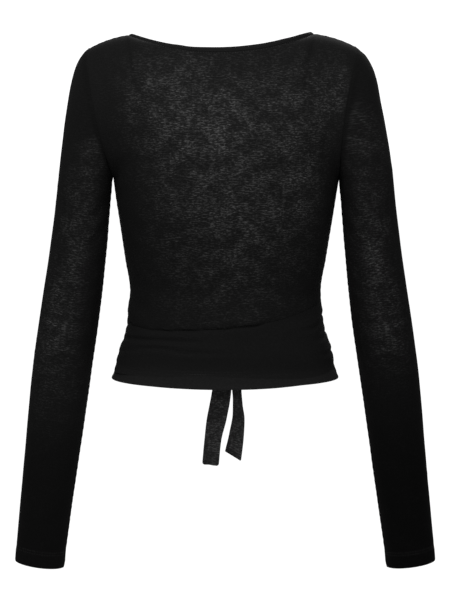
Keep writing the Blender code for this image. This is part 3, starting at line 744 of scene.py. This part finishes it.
def dress_panel(angle, level, front, free_edge, lift):
    """A panel with its creases, seams and hem: points, normals, distance from the hem, looks and grain."""
    base = panel_point(angle, level, front)
    flat = np.array([1, 1, 0])
    normals = grid_normals(base, False, base * flat)
    around, to_middle = round_from_middle(angle, level, front)
    height = base[..., 2]
    ring = by_side(angle, -180, 180) - angle if front else angle
    rows, columns = along_columns(base), along_rows(base)
    to_side, to_top = to_middle - np.abs(around), rows[-1:] - rows
    on_shoulder = ease((np.abs(angle) - by_side(angle, neck_angle("left"), neck_angle("right"))) / 1.5 + 0.8)
    to_shoulder = np.where(on_shoulder > 0, to_top, FAR)
    to_neck = columns[:, -1:] - columns if free_edge else np.where(on_shoulder < 1, to_top, FAR)
    rise = creases(FRONT_CREASES if front else BACK_CREASES, around, height)
    rise = rise + ripple(around, height, RIPPLE_PHASE["front" if front else "back"])
    rise = rise * ease(np.minimum(to_side, to_shoulder) / SEAM_CALM) * ease(rows / HEM_DEPTH)
    rise = rise + np.where(level <= 1, blousing(ring, height), 0)
    by_side_seam = seam_relief(to_side, rows, bulky=False) * (1 - bell(height - UNDERARM, UNDERARM_CALM))
    by_side_seam = by_side_seam + (0 if front else 1) * np.where(level <= 1, seam_ridge(to_side), 0)
    by_shoulder_seam = seam_relief(to_shoulder, columns, bulky=not front) * on_shoulder
    nearer = ease((to_shoulder - to_side) / (2 * SEAM_WIDTH) + 0.5)
    by_seams = by_shoulder_seam + (by_side_seam - by_shoulder_seam) * nearer
    rise = rise + by_seams * (1 - CORNER_CALM * bell(np.hypot(to_side, to_shoulder), CORNER_REACH))
    rise = rise - BAND_FURROW * bell(to_neck, SEAM_WIDTH)
    rise = rise + hem_relief(rows)
    flare = ease(1 - rows / FLARE_HEIGHT) * ease(1 - np.abs(np.abs(ring) - 90) / FLARE_REACH)
    rise = rise + HEM_FLARE * flare
    if lift is not None:
        rise = rise + lift
    outer = base + normals * rise[..., None]
    outer[..., 2] -= hem_droop(ring, rows)
    sheer = patches(FRONT_SHEER if front else BACK_SHEER, around, height)
    doubled = bell(to_side, SEAM_DARK) + bell(to_shoulder, SEAM_DARK) * on_shoulder + bell(to_neck, SEAM_DARK)
    sheer = sheer * (1 - np.minimum(doubled, 1))
    # painted light and shade by height, over the knit's own tone
    pale = read_table(BODY_PALE_AND_PAINTED_LIGHT, PALE_COLUMNS, "share", height)
    grain = np.stack([with_last(around, around[:, -1]), with_last(height, height[:, -1])], axis=-1)
    return outer, grid_normals(outer, False, base * flat), rows, (sheer, pale), grain, base


def back_angles():
    left, right = neck_angle("left"), neck_angle("right")
    shoulder = 52
    columns = lines_between(-90, -left, shoulder, fine_start=True)[:-1]
    columns += lines_between(-left, 0, 130)[:-1]
    columns += lines_between(0, right, 125)[:-1]
    return np.array(columns + lines_between(right, 90, shoulder, fine_end=True))


def wrap_edge(side, level):
    """Angle of a front's free edge: from its own neck tip, past the middle, to the other side."""
    tip_x, tip_z = NECK_TIP[side]
    climb = np.maximum(level - 1, 0)
    low_height = HEM + (UNDERARM - HEM) * level
    high_height = UNDERARM + (tip_z - UNDERARM) * np.sin(np.pi * climb / 2)
    height = np.where(climb > 0, high_height, low_height)
    fall = (height - WRAP_CROSSING) / (tip_z - WRAP_CROSSING)
    x = tip_x * (fall + WRAP_CURVE * fall**2) / (1 + WRAP_CURVE)
    other = "left" if side == "right" else "right"
    share = np.zeros_like(x)
    for towards, here in ((side, x > 0), (other, x <= 0)):
        reach = np.where(climb > 0, armhole_x(towards, climb), torso(towards, height))
        share = np.where(here, x / reach, share)
    return SIDE[side] * angle_across(share, climb)


def over_lift(angle, level):
    past = angle - wrap_edge("left", level)
    return WRAP_LIFT * (1 - ramp(past, WRAP_FULL, WRAP_NONE))


def make_back(material):
    columns = back_angles()
    level = panel_levels(lambda levels: columns[None, :] + 0 * levels, False)
    angle = np.broadcast_to(columns, level.shape)
    outer, normals, rows, look, grain, base = dress_panel(angle, level, False, False, None)
    piece = shell("back_cloth", outer, normals, JERSEY, False, look, grain, material)
    first, last = (int(np.abs(columns - at).argmin()) for at in (-neck_angle("left"), neck_angle("right")))
    neck = slice(first, last + 1)
    neck_line = line_at(outer[:, neck], normals[:, neck], rows[-1:, neck] - rows[:, neck], NECK_ROW)
    edge = (outer[-1, neck], base[-1, neck], edge_normals(angle[-1, neck], level[-1, neck], False))
    return piece, edge, hem_lines(outer, normals, rows) + [neck_line]


def make_front(side, material):
    outside = SIDE[side] * 90
    shares = np.array(lines_between(0, 1, FRONT_WIDTH, fine_start=True, fine_end=True))

    def angle_at(levels):
        return outside + (wrap_edge(side, levels) - outside) * shares

    level = panel_levels(angle_at, True)
    angle = outside + (wrap_edge(side, level) - outside) * shares
    lift = over_lift(angle, level) if side == "right" else None
    outer, normals, rows, look, grain, base = dress_panel(angle, level, True, True, lift)
    piece = shell("front_%s_cloth" % side, outer, normals, JERSEY, False, look, grain, material)
    across = along_rows(outer)
    beside_band = line_at(outer.swapaxes(0, 1), normals.swapaxes(0, 1), (across[:, -1:] - across).T, NECK_ROW)
    edge = (outer[:, -1], base[:, -1], edge_normals(angle[:, -1], level[:, -1], True))
    return piece, edge, hem_lines(outer, normals, rows) + [beside_band]


def line_at(points, normals, distances, distance):
    """Points and normals along a line at one distance, read between the rows of a grid."""
    order = slice(None, None, 1 if distances[0, 0] < distances[-1, 0] else -1)
    found = []
    for values in (points, normals):
        read = [[np.interp(distance, distances[order, c], values[order, c, k]) for k in range(3)]
                for c in range(values.shape[1])]
        found.append(np.array(read))
    return tuple(found)


def hem_lines(points, normals, distances):
    return [line_at(points, normals, distances, HEM_DEPTH - TWIN * row) for row in (0, 1)]


def back_band_rise(points):
    """How steeply the back's band stands up: it leans less toward the shoulders than in the middle."""
    left = np.interp(-points[:, 0], *BACK_BAND_RISE["left"])
    return np.where(points[:, 0] < 0, left, np.interp(points[:, 0], *BACK_BAND_RISE["right"]))


def front_band_rise(points, way):
    """How steeply a front's band stands: as its panel does, but at the neck tip as the back's band does."""
    side = "left" if points[-1, 0] < 0 else "right"
    tip = BACK_BAND_RISE[side][1][-1]
    return tip + (way[:, 2] - tip) * ease(np.abs(points[:, 1]) / BAND_TIP_REACH)


def make_band(name, edge, plain_edge, normals, beyond, material):
    """A folded binding along a free edge: rounded over at its outer side, stitched near its seam."""
    along = np.gradient(plain_edge, axis=0)
    way = np.cross(along, normals)
    at_tip = np.abs(plain_edge[:, 1]) < SEAM_GAP
    way[at_tip, 1] = 0
    way = unit(way)
    if way[len(way) // 2] @ np.array(beyond) < 0:
        way = -way
    rise = back_band_rise(plain_edge) if name == "neck_band_back_cloth" else front_band_rise(plain_edge, way)
    level_way = unit(way * np.array([1, 1, 0]))
    way = level_way * np.sqrt(1 - rise**2)[:, None] + np.array([0, 0, 1]) * rise[:, None]
    facing = np.cross(way, along)
    facing[at_tip, 1] = 0
    facing = unit(facing)
    normals = np.where((facing * normals).sum(axis=1, keepdims=True) > 0, facing, -facing)
    shares = np.array(BAND_SHARES)
    reach = SEAM_GAP + BAND_WIDTH * shares
    plump = BAND_PLUMP * np.sin(np.pi * shares) ** 0.5 - BAND_GROOVE * bell(shares - BAND_STITCHED, 0.07)
    places = along_rows(edge[None])[0]
    pucker = 0.12 * np.sin(2 * np.pi * places / 5.5)[None, :] * bell(shares - 0.2, 0.2)[:, None]
    rows = edge[None] + way[None] * reach[:, None, None]
    rows = rows + normals[None] * (plump[:, None] + pucker)[..., None]
    across = np.broadcast_to(reach[:, None], rows.shape[:2])
    grain = grain_of(np.broadcast_to(places[None, :], rows.shape[:2]), across)
    all_normals = np.broadcast_to(normals[None], rows.shape)
    return shell(name, rows, all_normals, BAND, False, (0, 1), grain, material)


# --- Sleeves, tie, knot ---
def make_sleeve(side, material):
    turns = np.linspace(0, 360, SLEEVE_LINES, endpoint=False)
    spans = [length_of(sleeve_point(side, 90, i + 1) - sleeve_point(side, 90, float(i)))[0]
             for i in range(LAST_SECTION)]
    places = lines_between(0, sum(spans), sum(spans), fine_start=True, fine_end=True)
    places = [0] * len(ARMHOLE_ALLOWANCE) + places
    sections = np.interp(places, np.concatenate([[0], np.cumsum(spans)]), np.arange(LAST_SECTION + 1))
    base = sleeve_point(side, turns[None, :], sections[:, None])
    away = base - base.mean(axis=1, keepdims=True)
    normals = grid_normals(base, True, away)
    normals[: len(ARMHOLE_ALLOWANCE) + 1] = normals[len(ARMHOLE_ALLOWANCE) + 1]
    around = along_rows(np.concatenate([base, base[:, :1]], axis=1))
    full, around = around[:, -1:], around[:, :-1]
    signed = np.where(around > full / 2, around - full, around)
    height = base[..., 2]
    down = along_columns(base)
    rise = creases(SLEEVE_CREASES, signed, height)
    rise = rise + ripple(signed, height, RIPPLE_PHASE[side])
    rise = rise + ELBOW_SWELL * bell(height - ELBOW_HEIGHT, ELBOW_REACH)
    outside = ((1 - cosine(turns)) / 2) ** 2
    rise = rise + CAP_SWELL[side] * bell(height - CAP_HEIGHT, CAP_REACH) * outside * ease(down / CAP_START)
    rise = rise * ease(down / SEAM_CALM)
    at_corner = CORNER_CALM * bell(np.abs(signed) - full / 2, CORNER_REACH)
    calm = np.maximum(bell(signed, UNDERARM_CALM), at_corner)
    rise = rise + seam_relief(down, around, bulky=True) * (1 - calm)
    rise = rise + seam_relief(np.abs(signed), down, bulky=True) * ease(down / UNDERARM_CALM)
    rise = rise + hem_relief(down[-1:] - down)
    outer = base + normals * rise[..., None]
    outer[..., 2] -= CUFF_DROOP[side] * ease(1 - (down[-1:] - down) / HEM_DEPTH)
    start = unit(base[len(ARMHOLE_ALLOWANCE) + 1] - base[0])
    for row, (back, under) in enumerate(ARMHOLE_ALLOWANCE):
        outer[row] = outer[len(ARMHOLE_ALLOWANCE)] - start * back - normals[0] * under
    final = grid_normals(outer, True, away)
    sheer = patches(SLEEVE_SHEER[side], signed, height) * (1 - bell(down, SEAM_SHADE))
    # painted shade toward the cuff, and lower still by the armhole seam
    pale = read_table(SLEEVE_PALE_AND_PAINTED_SHADE[side], PALE_COLUMNS, "share", height) * (1 - 0.3 * bell(down, SEAM_SHADE))
    cuff, arm = (base[row].mean(axis=0) for row in (-1, len(base) // 3))
    along = (base @ unit(cuff - arm))
    grain = np.stack([with_last(around, full[:, 0]), with_last(along, along[:, 0])], axis=-1)
    piece = shell("sleeve_%s_cloth" % side, outer, final, JERSEY, True, (sheer, pale), grain, material)
    ring = np.arange(len(turns) + 1) % len(turns)
    return piece, hem_lines(outer[:, ring], final[:, ring], (down[-1:] - down)[:, ring])


def sash_clearance(angle):
    return SASH_CLEAR + (SASH_FRONT_CLEAR - SASH_CLEAR) * ramp(np.abs(angle), *SASH_TURN)


def fold_relief(angle, height):
    total = np.zeros(np.broadcast(angle, height).shape)
    for rows in SASH_FOLDS:
        at = np.clip(angle, rows[0][0], rows[-1][0])
        middle = read_table(rows, FOLD_COLUMNS, "height", at)
        depth = read_table(rows, FOLD_COLUMNS, "depth", at)
        depth = np.where((angle < rows[0][0] - 1) | (angle > rows[-1][0] + 1), 0, depth)
        width = FOLD_WIDTH * (1 - 0.45 * ease((np.abs(angle) - 120) / 50))
        off = height - middle
        total = total - depth * (bell(off, width) - 0.5 * bell(np.abs(off) - 1.7 * width, width))
    return total


def make_sash(material):
    first, last = SASH_SECTIONS[0][0], SASH_SECTIONS[-1][0]
    angles = np.linspace(first, last, 300)
    shares = np.array(lines_between(0, 1, SASH_HEIGHT, fine_start=True, fine_end=True))
    shares = np.unique(np.concatenate([shares, np.linspace(0, 1, 46)]))
    shares = shares[np.concatenate([[True], np.diff(shares) > 0.004])]
    shares[-1] = 1
    top, bottom, puff = (tie(name, angles) for name in SASH_COLUMNS[1:])
    bottom = bottom + tie_lie("up", angles)
    height = bottom[None, :] + (top - bottom)[None, :] * shares[:, None]
    angle = np.broadcast_to(angles[None, :], height.shape)
    base = ring_point(angle, height)
    step = 0.5
    across = ring_point(angle + step, height) - ring_point(angle - step, height)
    upward = ring_point(angle, height + step) - ring_point(angle, height - step)
    normals = unit(np.cross(across, upward))
    from_top, from_bottom = top[None, :] - height, height - bottom[None, :]
    rolled = read_table(BLOUSE, BLOUSE_COLUMNS, "out", angle) / 4
    lie_top, lie_bottom = tie_lie("top", angle), tie_lie("bottom", angle)
    lie_top = lie_top * (1 - ease(from_top / LIE_REACH["top"]))
    flush = LIE_FLUSH * lie_bottom * (1 - ease(from_bottom / FLUSH_REACH))
    lie = np.maximum(lie_top, lie_bottom * (1 - ease(from_bottom / LIE_REACH["bottom"])))
    stand = sash_clearance(angle) + SASH_WALL + 0.3 * puff[None, :] + fold_relief(angle, height)
    stand = stand - SASH_ROLL * rolled * bell(from_top, 3.2) - 0.5 * bell(from_bottom, 1.6)
    stand = stand + 0.2 * np.sin(angle / 5.3 + height / 19) * np.sin(height / 9)
    stand = stand - SASH_PINCH * bell(np.abs(angle) - 90, 24) * bell(height - PINCH_HEIGHT, 16)
    rise = stand * (1 - lie) + (LIE_HEIGHT * (1 - flush) + body_relief_at_tie(angle, height)) * lie
    outer = base + normals * rise[..., None]
    outer[..., 2] -= hem_droop(angle, height - HEM)
    final = grid_normals(outer, False, normals)
    grain = grain_of(along_rows(outer), along_columns(outer))
    wall = SASH * (1 - LIE_THIN * lie)
    # painted light along the tie's lower edge
    pale = TIE_PALE + TIE_EDGE_PAINTED_LIGHT * bell(from_bottom, TIE_EDGE_REACH)
    return shell("waist_sash_cloth", outer, final, wall, False, (0, pale), grain, material)


def make_knot(material):
    """The knot: the tie's two ends gathered from the sides, and one turn of cloth slantwise over them."""
    rings, sides = 96, 132
    lean = np.linspace(0, np.pi, rings + 1)[:, None]
    spin = np.linspace(0, 2 * np.pi, sides, endpoint=False)[None, :]
    x, y, z = np.broadcast_arrays(np.sin(lean) * np.cos(spin), np.sin(lean) * np.sin(spin), np.cos(lean))
    ball = np.stack([x, y, z], axis=-1)
    tilt = math.radians(KNOT_TILT)
    off = x * math.cos(tilt) + z * math.sin(tilt)  # across the turn of cloth
    run = z * math.cos(tilt) - x * math.sin(tilt)  # along it
    half = KNOT_TURN_HALF * (1 + 0.28 * run)
    across = (off - 0.1 * run**2) / half
    turn = ease((1.12 - np.abs(across)) / 0.3)
    lengthwise = np.cos(across * 5.2 + 0.9 * run) + 0.6 * np.cos(across * 9.3 - 1.6 * run + 1)
    gathers = np.cos(z * 10.5 + 2.2 * x * x + 0.6) + 0.5 * np.cos(z * 17 - 3 * x)
    narrow = 1 - KNOT_PINCH * (1 - turn) * ease((np.abs(x) - 0.25) / 0.5) * z * z
    swell = narrow + turn * (KNOT_TURN_RISE + 0.028 * lengthwise) + 0.034 * gathers * (1 - turn)
    swell = swell - 0.09 * bell(np.abs(across) - 1.12, 0.12)
    points = (KNOT_CENTRE + ball * KNOT_HALF * swell[..., None]).reshape(-1, 3)
    index = []
    for ring in range(rings):
        for side in range(sides):
            after = (side + 1) % sides
            row, below = ring * sides, (ring + 1) * sides
            if ring == 0:
                index.append((0, below + side, below + after))
            elif ring == rings - 1:
                index.append((row + side, below, row + after))
            else:
                index.append((row + side, below + side, below + after, row + after))
    used = sorted({i for face in index for i in face})
    renumber = {old: new for new, old in enumerate(used)}
    faces = [[renumber[i] for i in face] for face in index]
    grain = (points - KNOT_CENTRE)[[i for face in index for i in face]][:, (2, 0)]
    return cloth("tie_knot_cloth", points[used], faces, grain, (0, TIE_PALE), material)


def make_tail(side, material):
    """A free end of the tie, gathered into the knot, with round corners at its end."""
    table = TAILS[side]
    top, end = table[0][0] + TAIL_IN_KNOT, table[-1][0]
    places = np.array(lines_between(top, end, top - end, fine_end=True))
    heights = np.minimum(places, table[0][0])
    shares = np.linspace(-0.5, 0.5, TAIL_LINES)[None, :]
    x, y, width, turn, skew = (read_table(table, TAIL_COLUMNS, n, heights) for n in TAIL_COLUMNS[1:])
    width = width * (1 - 0.3 * ease((places - table[0][0]) / TAIL_IN_KNOT))
    corner = TAIL_CORNER[side]
    to_end = np.maximum(corner - (places - end), 0)
    width = width - 2 * (corner - np.sqrt(corner**2 - to_end**2)) * TAIL_ROUND
    across = np.stack([cosine(turn), sine(turn), np.zeros_like(turn)], axis=-1)
    forth = np.stack([-sine(turn), cosine(turn), np.zeros_like(turn)], axis=-1)
    middle = np.stack([x, y, places], axis=-1)
    down = (top - places)[:, None]
    sign = SIDE[side]
    gathered = 1 - ramp(down, *TAIL_GATHERED)
    fold = 0.55 * np.sin(shares * 6 + down / 25 * sign) * ease(down / 25) + TAIL / 2
    fold = fold + gathered * (1.1 * bell(shares - 0.12 * sign, 0.14) - 0.7 * bell(shares + 0.2 * sign, 0.1))
    for at, slant, size, rise in TAIL_CREASES:
        fold = fold + rise * bell(down - at - slant * shares, size)
    outer = middle[:, None] + across[:, None] * (width[:, None] * shares)[..., None]
    outer[..., 2] += skew[:, None] * shares
    outer = outer + forth[:, None] * fold[..., None]
    normals = grid_normals(outer, False, forth[:, None])
    grain = grain_of(width[:, None] * shares, np.broadcast_to(down, outer.shape[:2]))
    lower = ramp(down, *TAIL_PAINTED_LIGHT_SPAN) + 0 * shares
    # painted light: a tail is paler toward its end
    pale = TAIL_PALE_AND_PAINTED_LIGHT[0] + (TAIL_PALE_AND_PAINTED_LIGHT[1] - TAIL_PALE_AND_PAINTED_LIGHT[0]) * lower
    look = (TAIL_SHEER * lower, pale)
    return shell("tie_tail_%s_cloth" % side, outer, normals, TAIL, False, look, grain, material)


# --- Stitches ---
def make_stitches(name, lines, material):
    """Rows of short raised stitches along lines of points with normals, as one mesh."""
    vertices = []
    for points, normals in lines:
        places = along_rows(points[None])[0]
        starts = np.arange(1, places[-1] - STITCH_LENGTH, STITCH_PITCH)

        def read(values, at):
            return np.stack([np.interp(at, places, values[:, k]) for k in range(3)], axis=1)

        first, last = read(points, starts), read(points, starts + STITCH_LENGTH)
        out = unit(read(normals, starts + STITCH_LENGTH / 2))
        cross = np.cross(unit(last - first), out) * STITCH_WIDTH / 2
        middle, low = (first + last) / 2, out * STITCH_SUNK
        above, under = middle + out * STITCH_RISE, middle - out * STITCH_ROOT
        corners = (first - low, middle - cross, middle + cross, last - low, above, under)
        vertices.append(np.stack(corners, axis=1).reshape(-1, 3))
    vertices = np.concatenate(vertices)
    rim = ((0, 1), (1, 3), (3, 2), (2, 0))
    pattern = np.array([(a, b, 4) for a, b in rim] + [(b, a, 5) for a, b in rim])
    faces = (np.arange(len(vertices) // 6)[:, None, None] * 6 + pattern).reshape(-1, 3)
    mesh = bpy.data.meshes.new(name)
    mesh.from_pydata((vertices * MM).tolist(), [], faces.tolist())
    return finished(name, mesh, material)


# --- Materials ---
# How often each noise of the jersey changes in a metre, along its courses and across them.
LONG_STREAKS, SHORT_STREAKS, PATCHY = (150.0, 720.0, 1.0), (330.0, 820.0, 1.0), (46.0, 54.0, 1.0)
COURSES, WALES = (520.0, 880.0, 1.0), (1250.0, 420.0, 1.0)
STREAK_SHARE, STREAKS_ANYWHERE, HAZE = 0.62, 0.02, 0.07  # of the pale cloth, in streaks and between them


class Nodes:
    """Short ways of adding nodes to a material."""

    def __init__(self, name, roughness, specular):
        self.material = bpy.data.materials.new(name)
        self.material.use_nodes = True
        self.tree = self.material.node_tree
        self.shader = self.tree.nodes["Principled BSDF"]
        self.shader.inputs["Roughness"].default_value = roughness
        self.shader.inputs["Specular IOR Level"].default_value = specular
        self.shader.inputs["Metallic"].default_value = 0.0

    def add(self, kind, **settings):
        node = self.tree.nodes.new(kind)
        for name, value in settings.items():
            setattr(node, name, value)
        return node

    def link(self, source, target):
        self.tree.links.new(source, target)

    def maths(self, operation, a, b=0.0, clamp=False):
        node = self.add("ShaderNodeMath", operation=operation, use_clamp=clamp)
        for socket, value in zip(node.inputs, (a, b)):
            if isinstance(value, (int, float)):
                socket.default_value = value
            else:
                self.link(value, socket)
        return node.outputs[0]

    def times(self, a, b):
        return self.maths("MULTIPLY", a, b)

    def plus(self, a, b, clamp=False):
        return self.maths("ADD", a, b, clamp)

    def noise(self, vector, scale, detail=2.0, roughness=0.5):
        stretch = self.add("ShaderNodeMapping")
        stretch.inputs["Scale"].default_value = scale
        self.link(vector, stretch.inputs["Vector"])
        texture = self.add("ShaderNodeTexNoise", noise_dimensions="3D")
        texture.inputs["Scale"].default_value = 1.0
        texture.inputs["Detail"].default_value = detail
        texture.inputs["Roughness"].default_value = roughness
        self.link(stretch.outputs[0], texture.inputs["Vector"])
        return texture.outputs["Fac"]

    def between(self, value, low, high, to_low=0.0, to_high=1.0):
        node = self.add("ShaderNodeMapRange", interpolation_type="SMOOTHSTEP")
        for name, number in (("From Min", low), ("From Max", high), ("To Min", to_low), ("To Max", to_high)):
            node.inputs[name].default_value = number
        self.link(value, node.inputs["Value"])
        return node.outputs["Result"]

    def mix(self, share, dark, light):
        node = self.add("ShaderNodeMix", data_type="RGBA")
        self.link(share, node.inputs["Factor"])
        node.inputs["A"].default_value = dark
        node.inputs["B"].default_value = light
        return node.outputs["Result"]


def grey(value):
    return (value, value, value, 1.0)


def jersey(name, deep, light, plain, slub):
    """Black slub jersey: lighter streaks along its courses where it is thin, over a fine knit whose plain
    share carries painted light and shade.
    """
    n = Nodes(name, 0.9, 0.006)
    n.shader.inputs["Sheen Weight"].default_value = 0.002
    n.shader.inputs["Sheen Roughness"].default_value = 0.5
    uv = n.add("ShaderNodeUVMap", uv_map="grain").outputs[0]
    sheer, pale = (n.add("ShaderNodeAttribute", attribute_name=look).outputs["Fac"] for look in LOOKS)
    long_streaks = n.between(n.noise(uv, LONG_STREAKS, 3.0, 0.6), 0.50, 0.66)
    short_streaks = n.between(n.noise(uv, SHORT_STREAKS, 2.0, 0.5), 0.53, 0.70)
    patchy = n.between(n.noise(uv, PATCHY, 3.0, 0.6), 0.38, 0.62, 0.32, 1.0)
    streaks = n.plus(n.times(long_streaks, STREAK_SHARE), n.times(short_streaks, STREAK_SHARE))
    lit = n.times(n.times(streaks, patchy), n.plus(n.times(sheer, slub), STREAKS_ANYWHERE))
    haze = n.times(n.times(sheer, patchy), HAZE * slub)
    courses = n.between(n.noise(uv, COURSES, 2.0, 0.6), 0.3, 0.7, 0.75 * plain, 1.25 * plain)
    # The plain knit's share holds the painted light and shade from its looks, over its own tone.
    share = n.plus(n.plus(lit, haze), n.times(pale, courses), clamp=True)
    n.link(n.mix(share, grey(deep), grey(light)), n.shader.inputs["Base Color"])
    wales = n.noise(uv, WALES, 1.0, 0.4)
    bump = n.add("ShaderNodeBump")
    bump.inputs["Strength"].default_value = 0.35
    bump.inputs["Distance"].default_value = 0.0004
    n.link(n.plus(n.times(wales, 0.5), n.times(streaks, 0.5)), bump.inputs["Height"])
    n.link(bump.outputs["Normal"], n.shader.inputs["Normal"])
    return n.material


def thread(name):
    n = Nodes(name, 0.6, 0.1)
    uv = n.add("ShaderNodeTexCoord").outputs["Object"]
    n.link(n.mix(n.noise(uv, (900.0, 900.0, 900.0)), grey(0.006), grey(0.02)), n.shader.inputs["Base Color"])
    return n.material


def floor_material():
    n = Nodes("pale_floor", 0.9, 0.0)
    place = n.add("ShaderNodeTexCoord").outputs["Object"]
    n.link(n.mix(n.noise(place, (3.0, 3.0, 3.0)), grey(0.90), grey(0.92)), n.shader.inputs["Base Color"])
    return n.material


# --- Putting it together ---
def declare(piece, node):
    """A finished sheet of cloth that stands for its solid."""
    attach(piece, "root")
    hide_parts(node)


def add_light(name, place, target, size, watts):
    data = bpy.data.lights.new(name, "AREA")
    data.shape = "RECTANGLE"
    data.size, data.size_y = size
    data.energy = watts
    lamp = bpy.data.objects.new(name, data)
    lamp.location = place
    lamp.rotation_euler = (Vector(target) - Vector(place)).to_track_quat("-Z", "Y").to_euler()
    bpy.context.scene.collection.objects.link(lamp)


black_jersey = jersey("black_jersey", 0.0010, 0.0425, 0.055, 1.0)
black_binding = jersey("black_binding", 0.0014, 0.030, 0.09, 0.2)
black_tie = jersey("black_tie", 0.0010, 0.042, 0.055, 0.9)
black_thread = thread("black_thread")

back, neck_edge, stitch_lines = make_back(black_jersey)
declare(back, "back")
bands = [make_band("neck_band_back_cloth", *neck_edge, (0.0, 1.0, 1.0), black_binding)]
for side in ("left", "right"):
    front, free_edge, lines = make_front(side, black_jersey)
    declare(front, "front_" + side)
    stitch_lines += lines
    bands.append(make_band("neck_band_%s_cloth" % side, *free_edge, (-SIDE[side], 0.0, 1.0), black_binding))
    sleeve, lines = make_sleeve(side, black_jersey)
    declare(sleeve, "sleeve_" + side)
    stitch_lines += lines
for band, flat in zip(bands, ((0.010, 0.24), (0.010, 0.47), (0.010, 0.46))):
    declare(band, band.name.replace("_cloth", ""))
stitches = make_stitches("hem_and_neck_stitches", stitch_lines, black_thread)
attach(stitches, "root")
sash = make_sash(black_tie)
knot = make_knot(black_tie)
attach(knot, "root")
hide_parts("tie_knot")
declare(sash, "waist_sash")
for side, flat in (("left", (0.022, 0.160)), ("right", (0.0205, 0.150))):
    tail = make_tail(side, black_tie)
    declare(tail, "tie_tail_" + side)

bpy.ops.mesh.primitive_plane_add(size=60.0, location=(0.0, 0.0, -1.6))
floor = bpy.context.object
floor.name = "floor"
floor.data.materials.append(floor_material())

world = bpy.data.worlds.new("studio")
world.use_nodes = True
world.node_tree.nodes["Background"].inputs["Color"].default_value = (1.0, 1.0, 1.0, 1.0)
world.node_tree.nodes["Background"].inputs["Strength"].default_value = 1.15
bpy.context.scene.world = world
AIM = Vector((-0.001, 0.0, -0.3074))
add_light("key", (-0.25, -1.0, 0.85), (0.0, -0.09, -0.1), (0.9, 0.6), 38.0)
add_light("fill", (1.4, -2.0, 0.3), AIM, (1.2, 1.2), 6.0)
add_light("front_key", (0.3, 1.3, 0.8), (0.0, 0.1, -0.15), (0.9, 0.6), 42.0)

ELEVATION, DISTANCE = math.radians(6.0), 2.8
camera_data = bpy.data.cameras.new("camera")
camera_data.lens = 140.0
camera_data.sensor_width = 36.0
camera = bpy.data.objects.new("camera", camera_data)
camera.location = AIM + Vector((0.0, -math.cos(ELEVATION), math.sin(ELEVATION))) * DISTANCE
camera.rotation_euler = (math.pi / 2.0 - ELEVATION, 0.0, 0.0)
bpy.context.scene.collection.objects.link(camera)
bpy.context.scene.camera = camera
bpy.context.scene.view_settings.view_transform = "Standard"
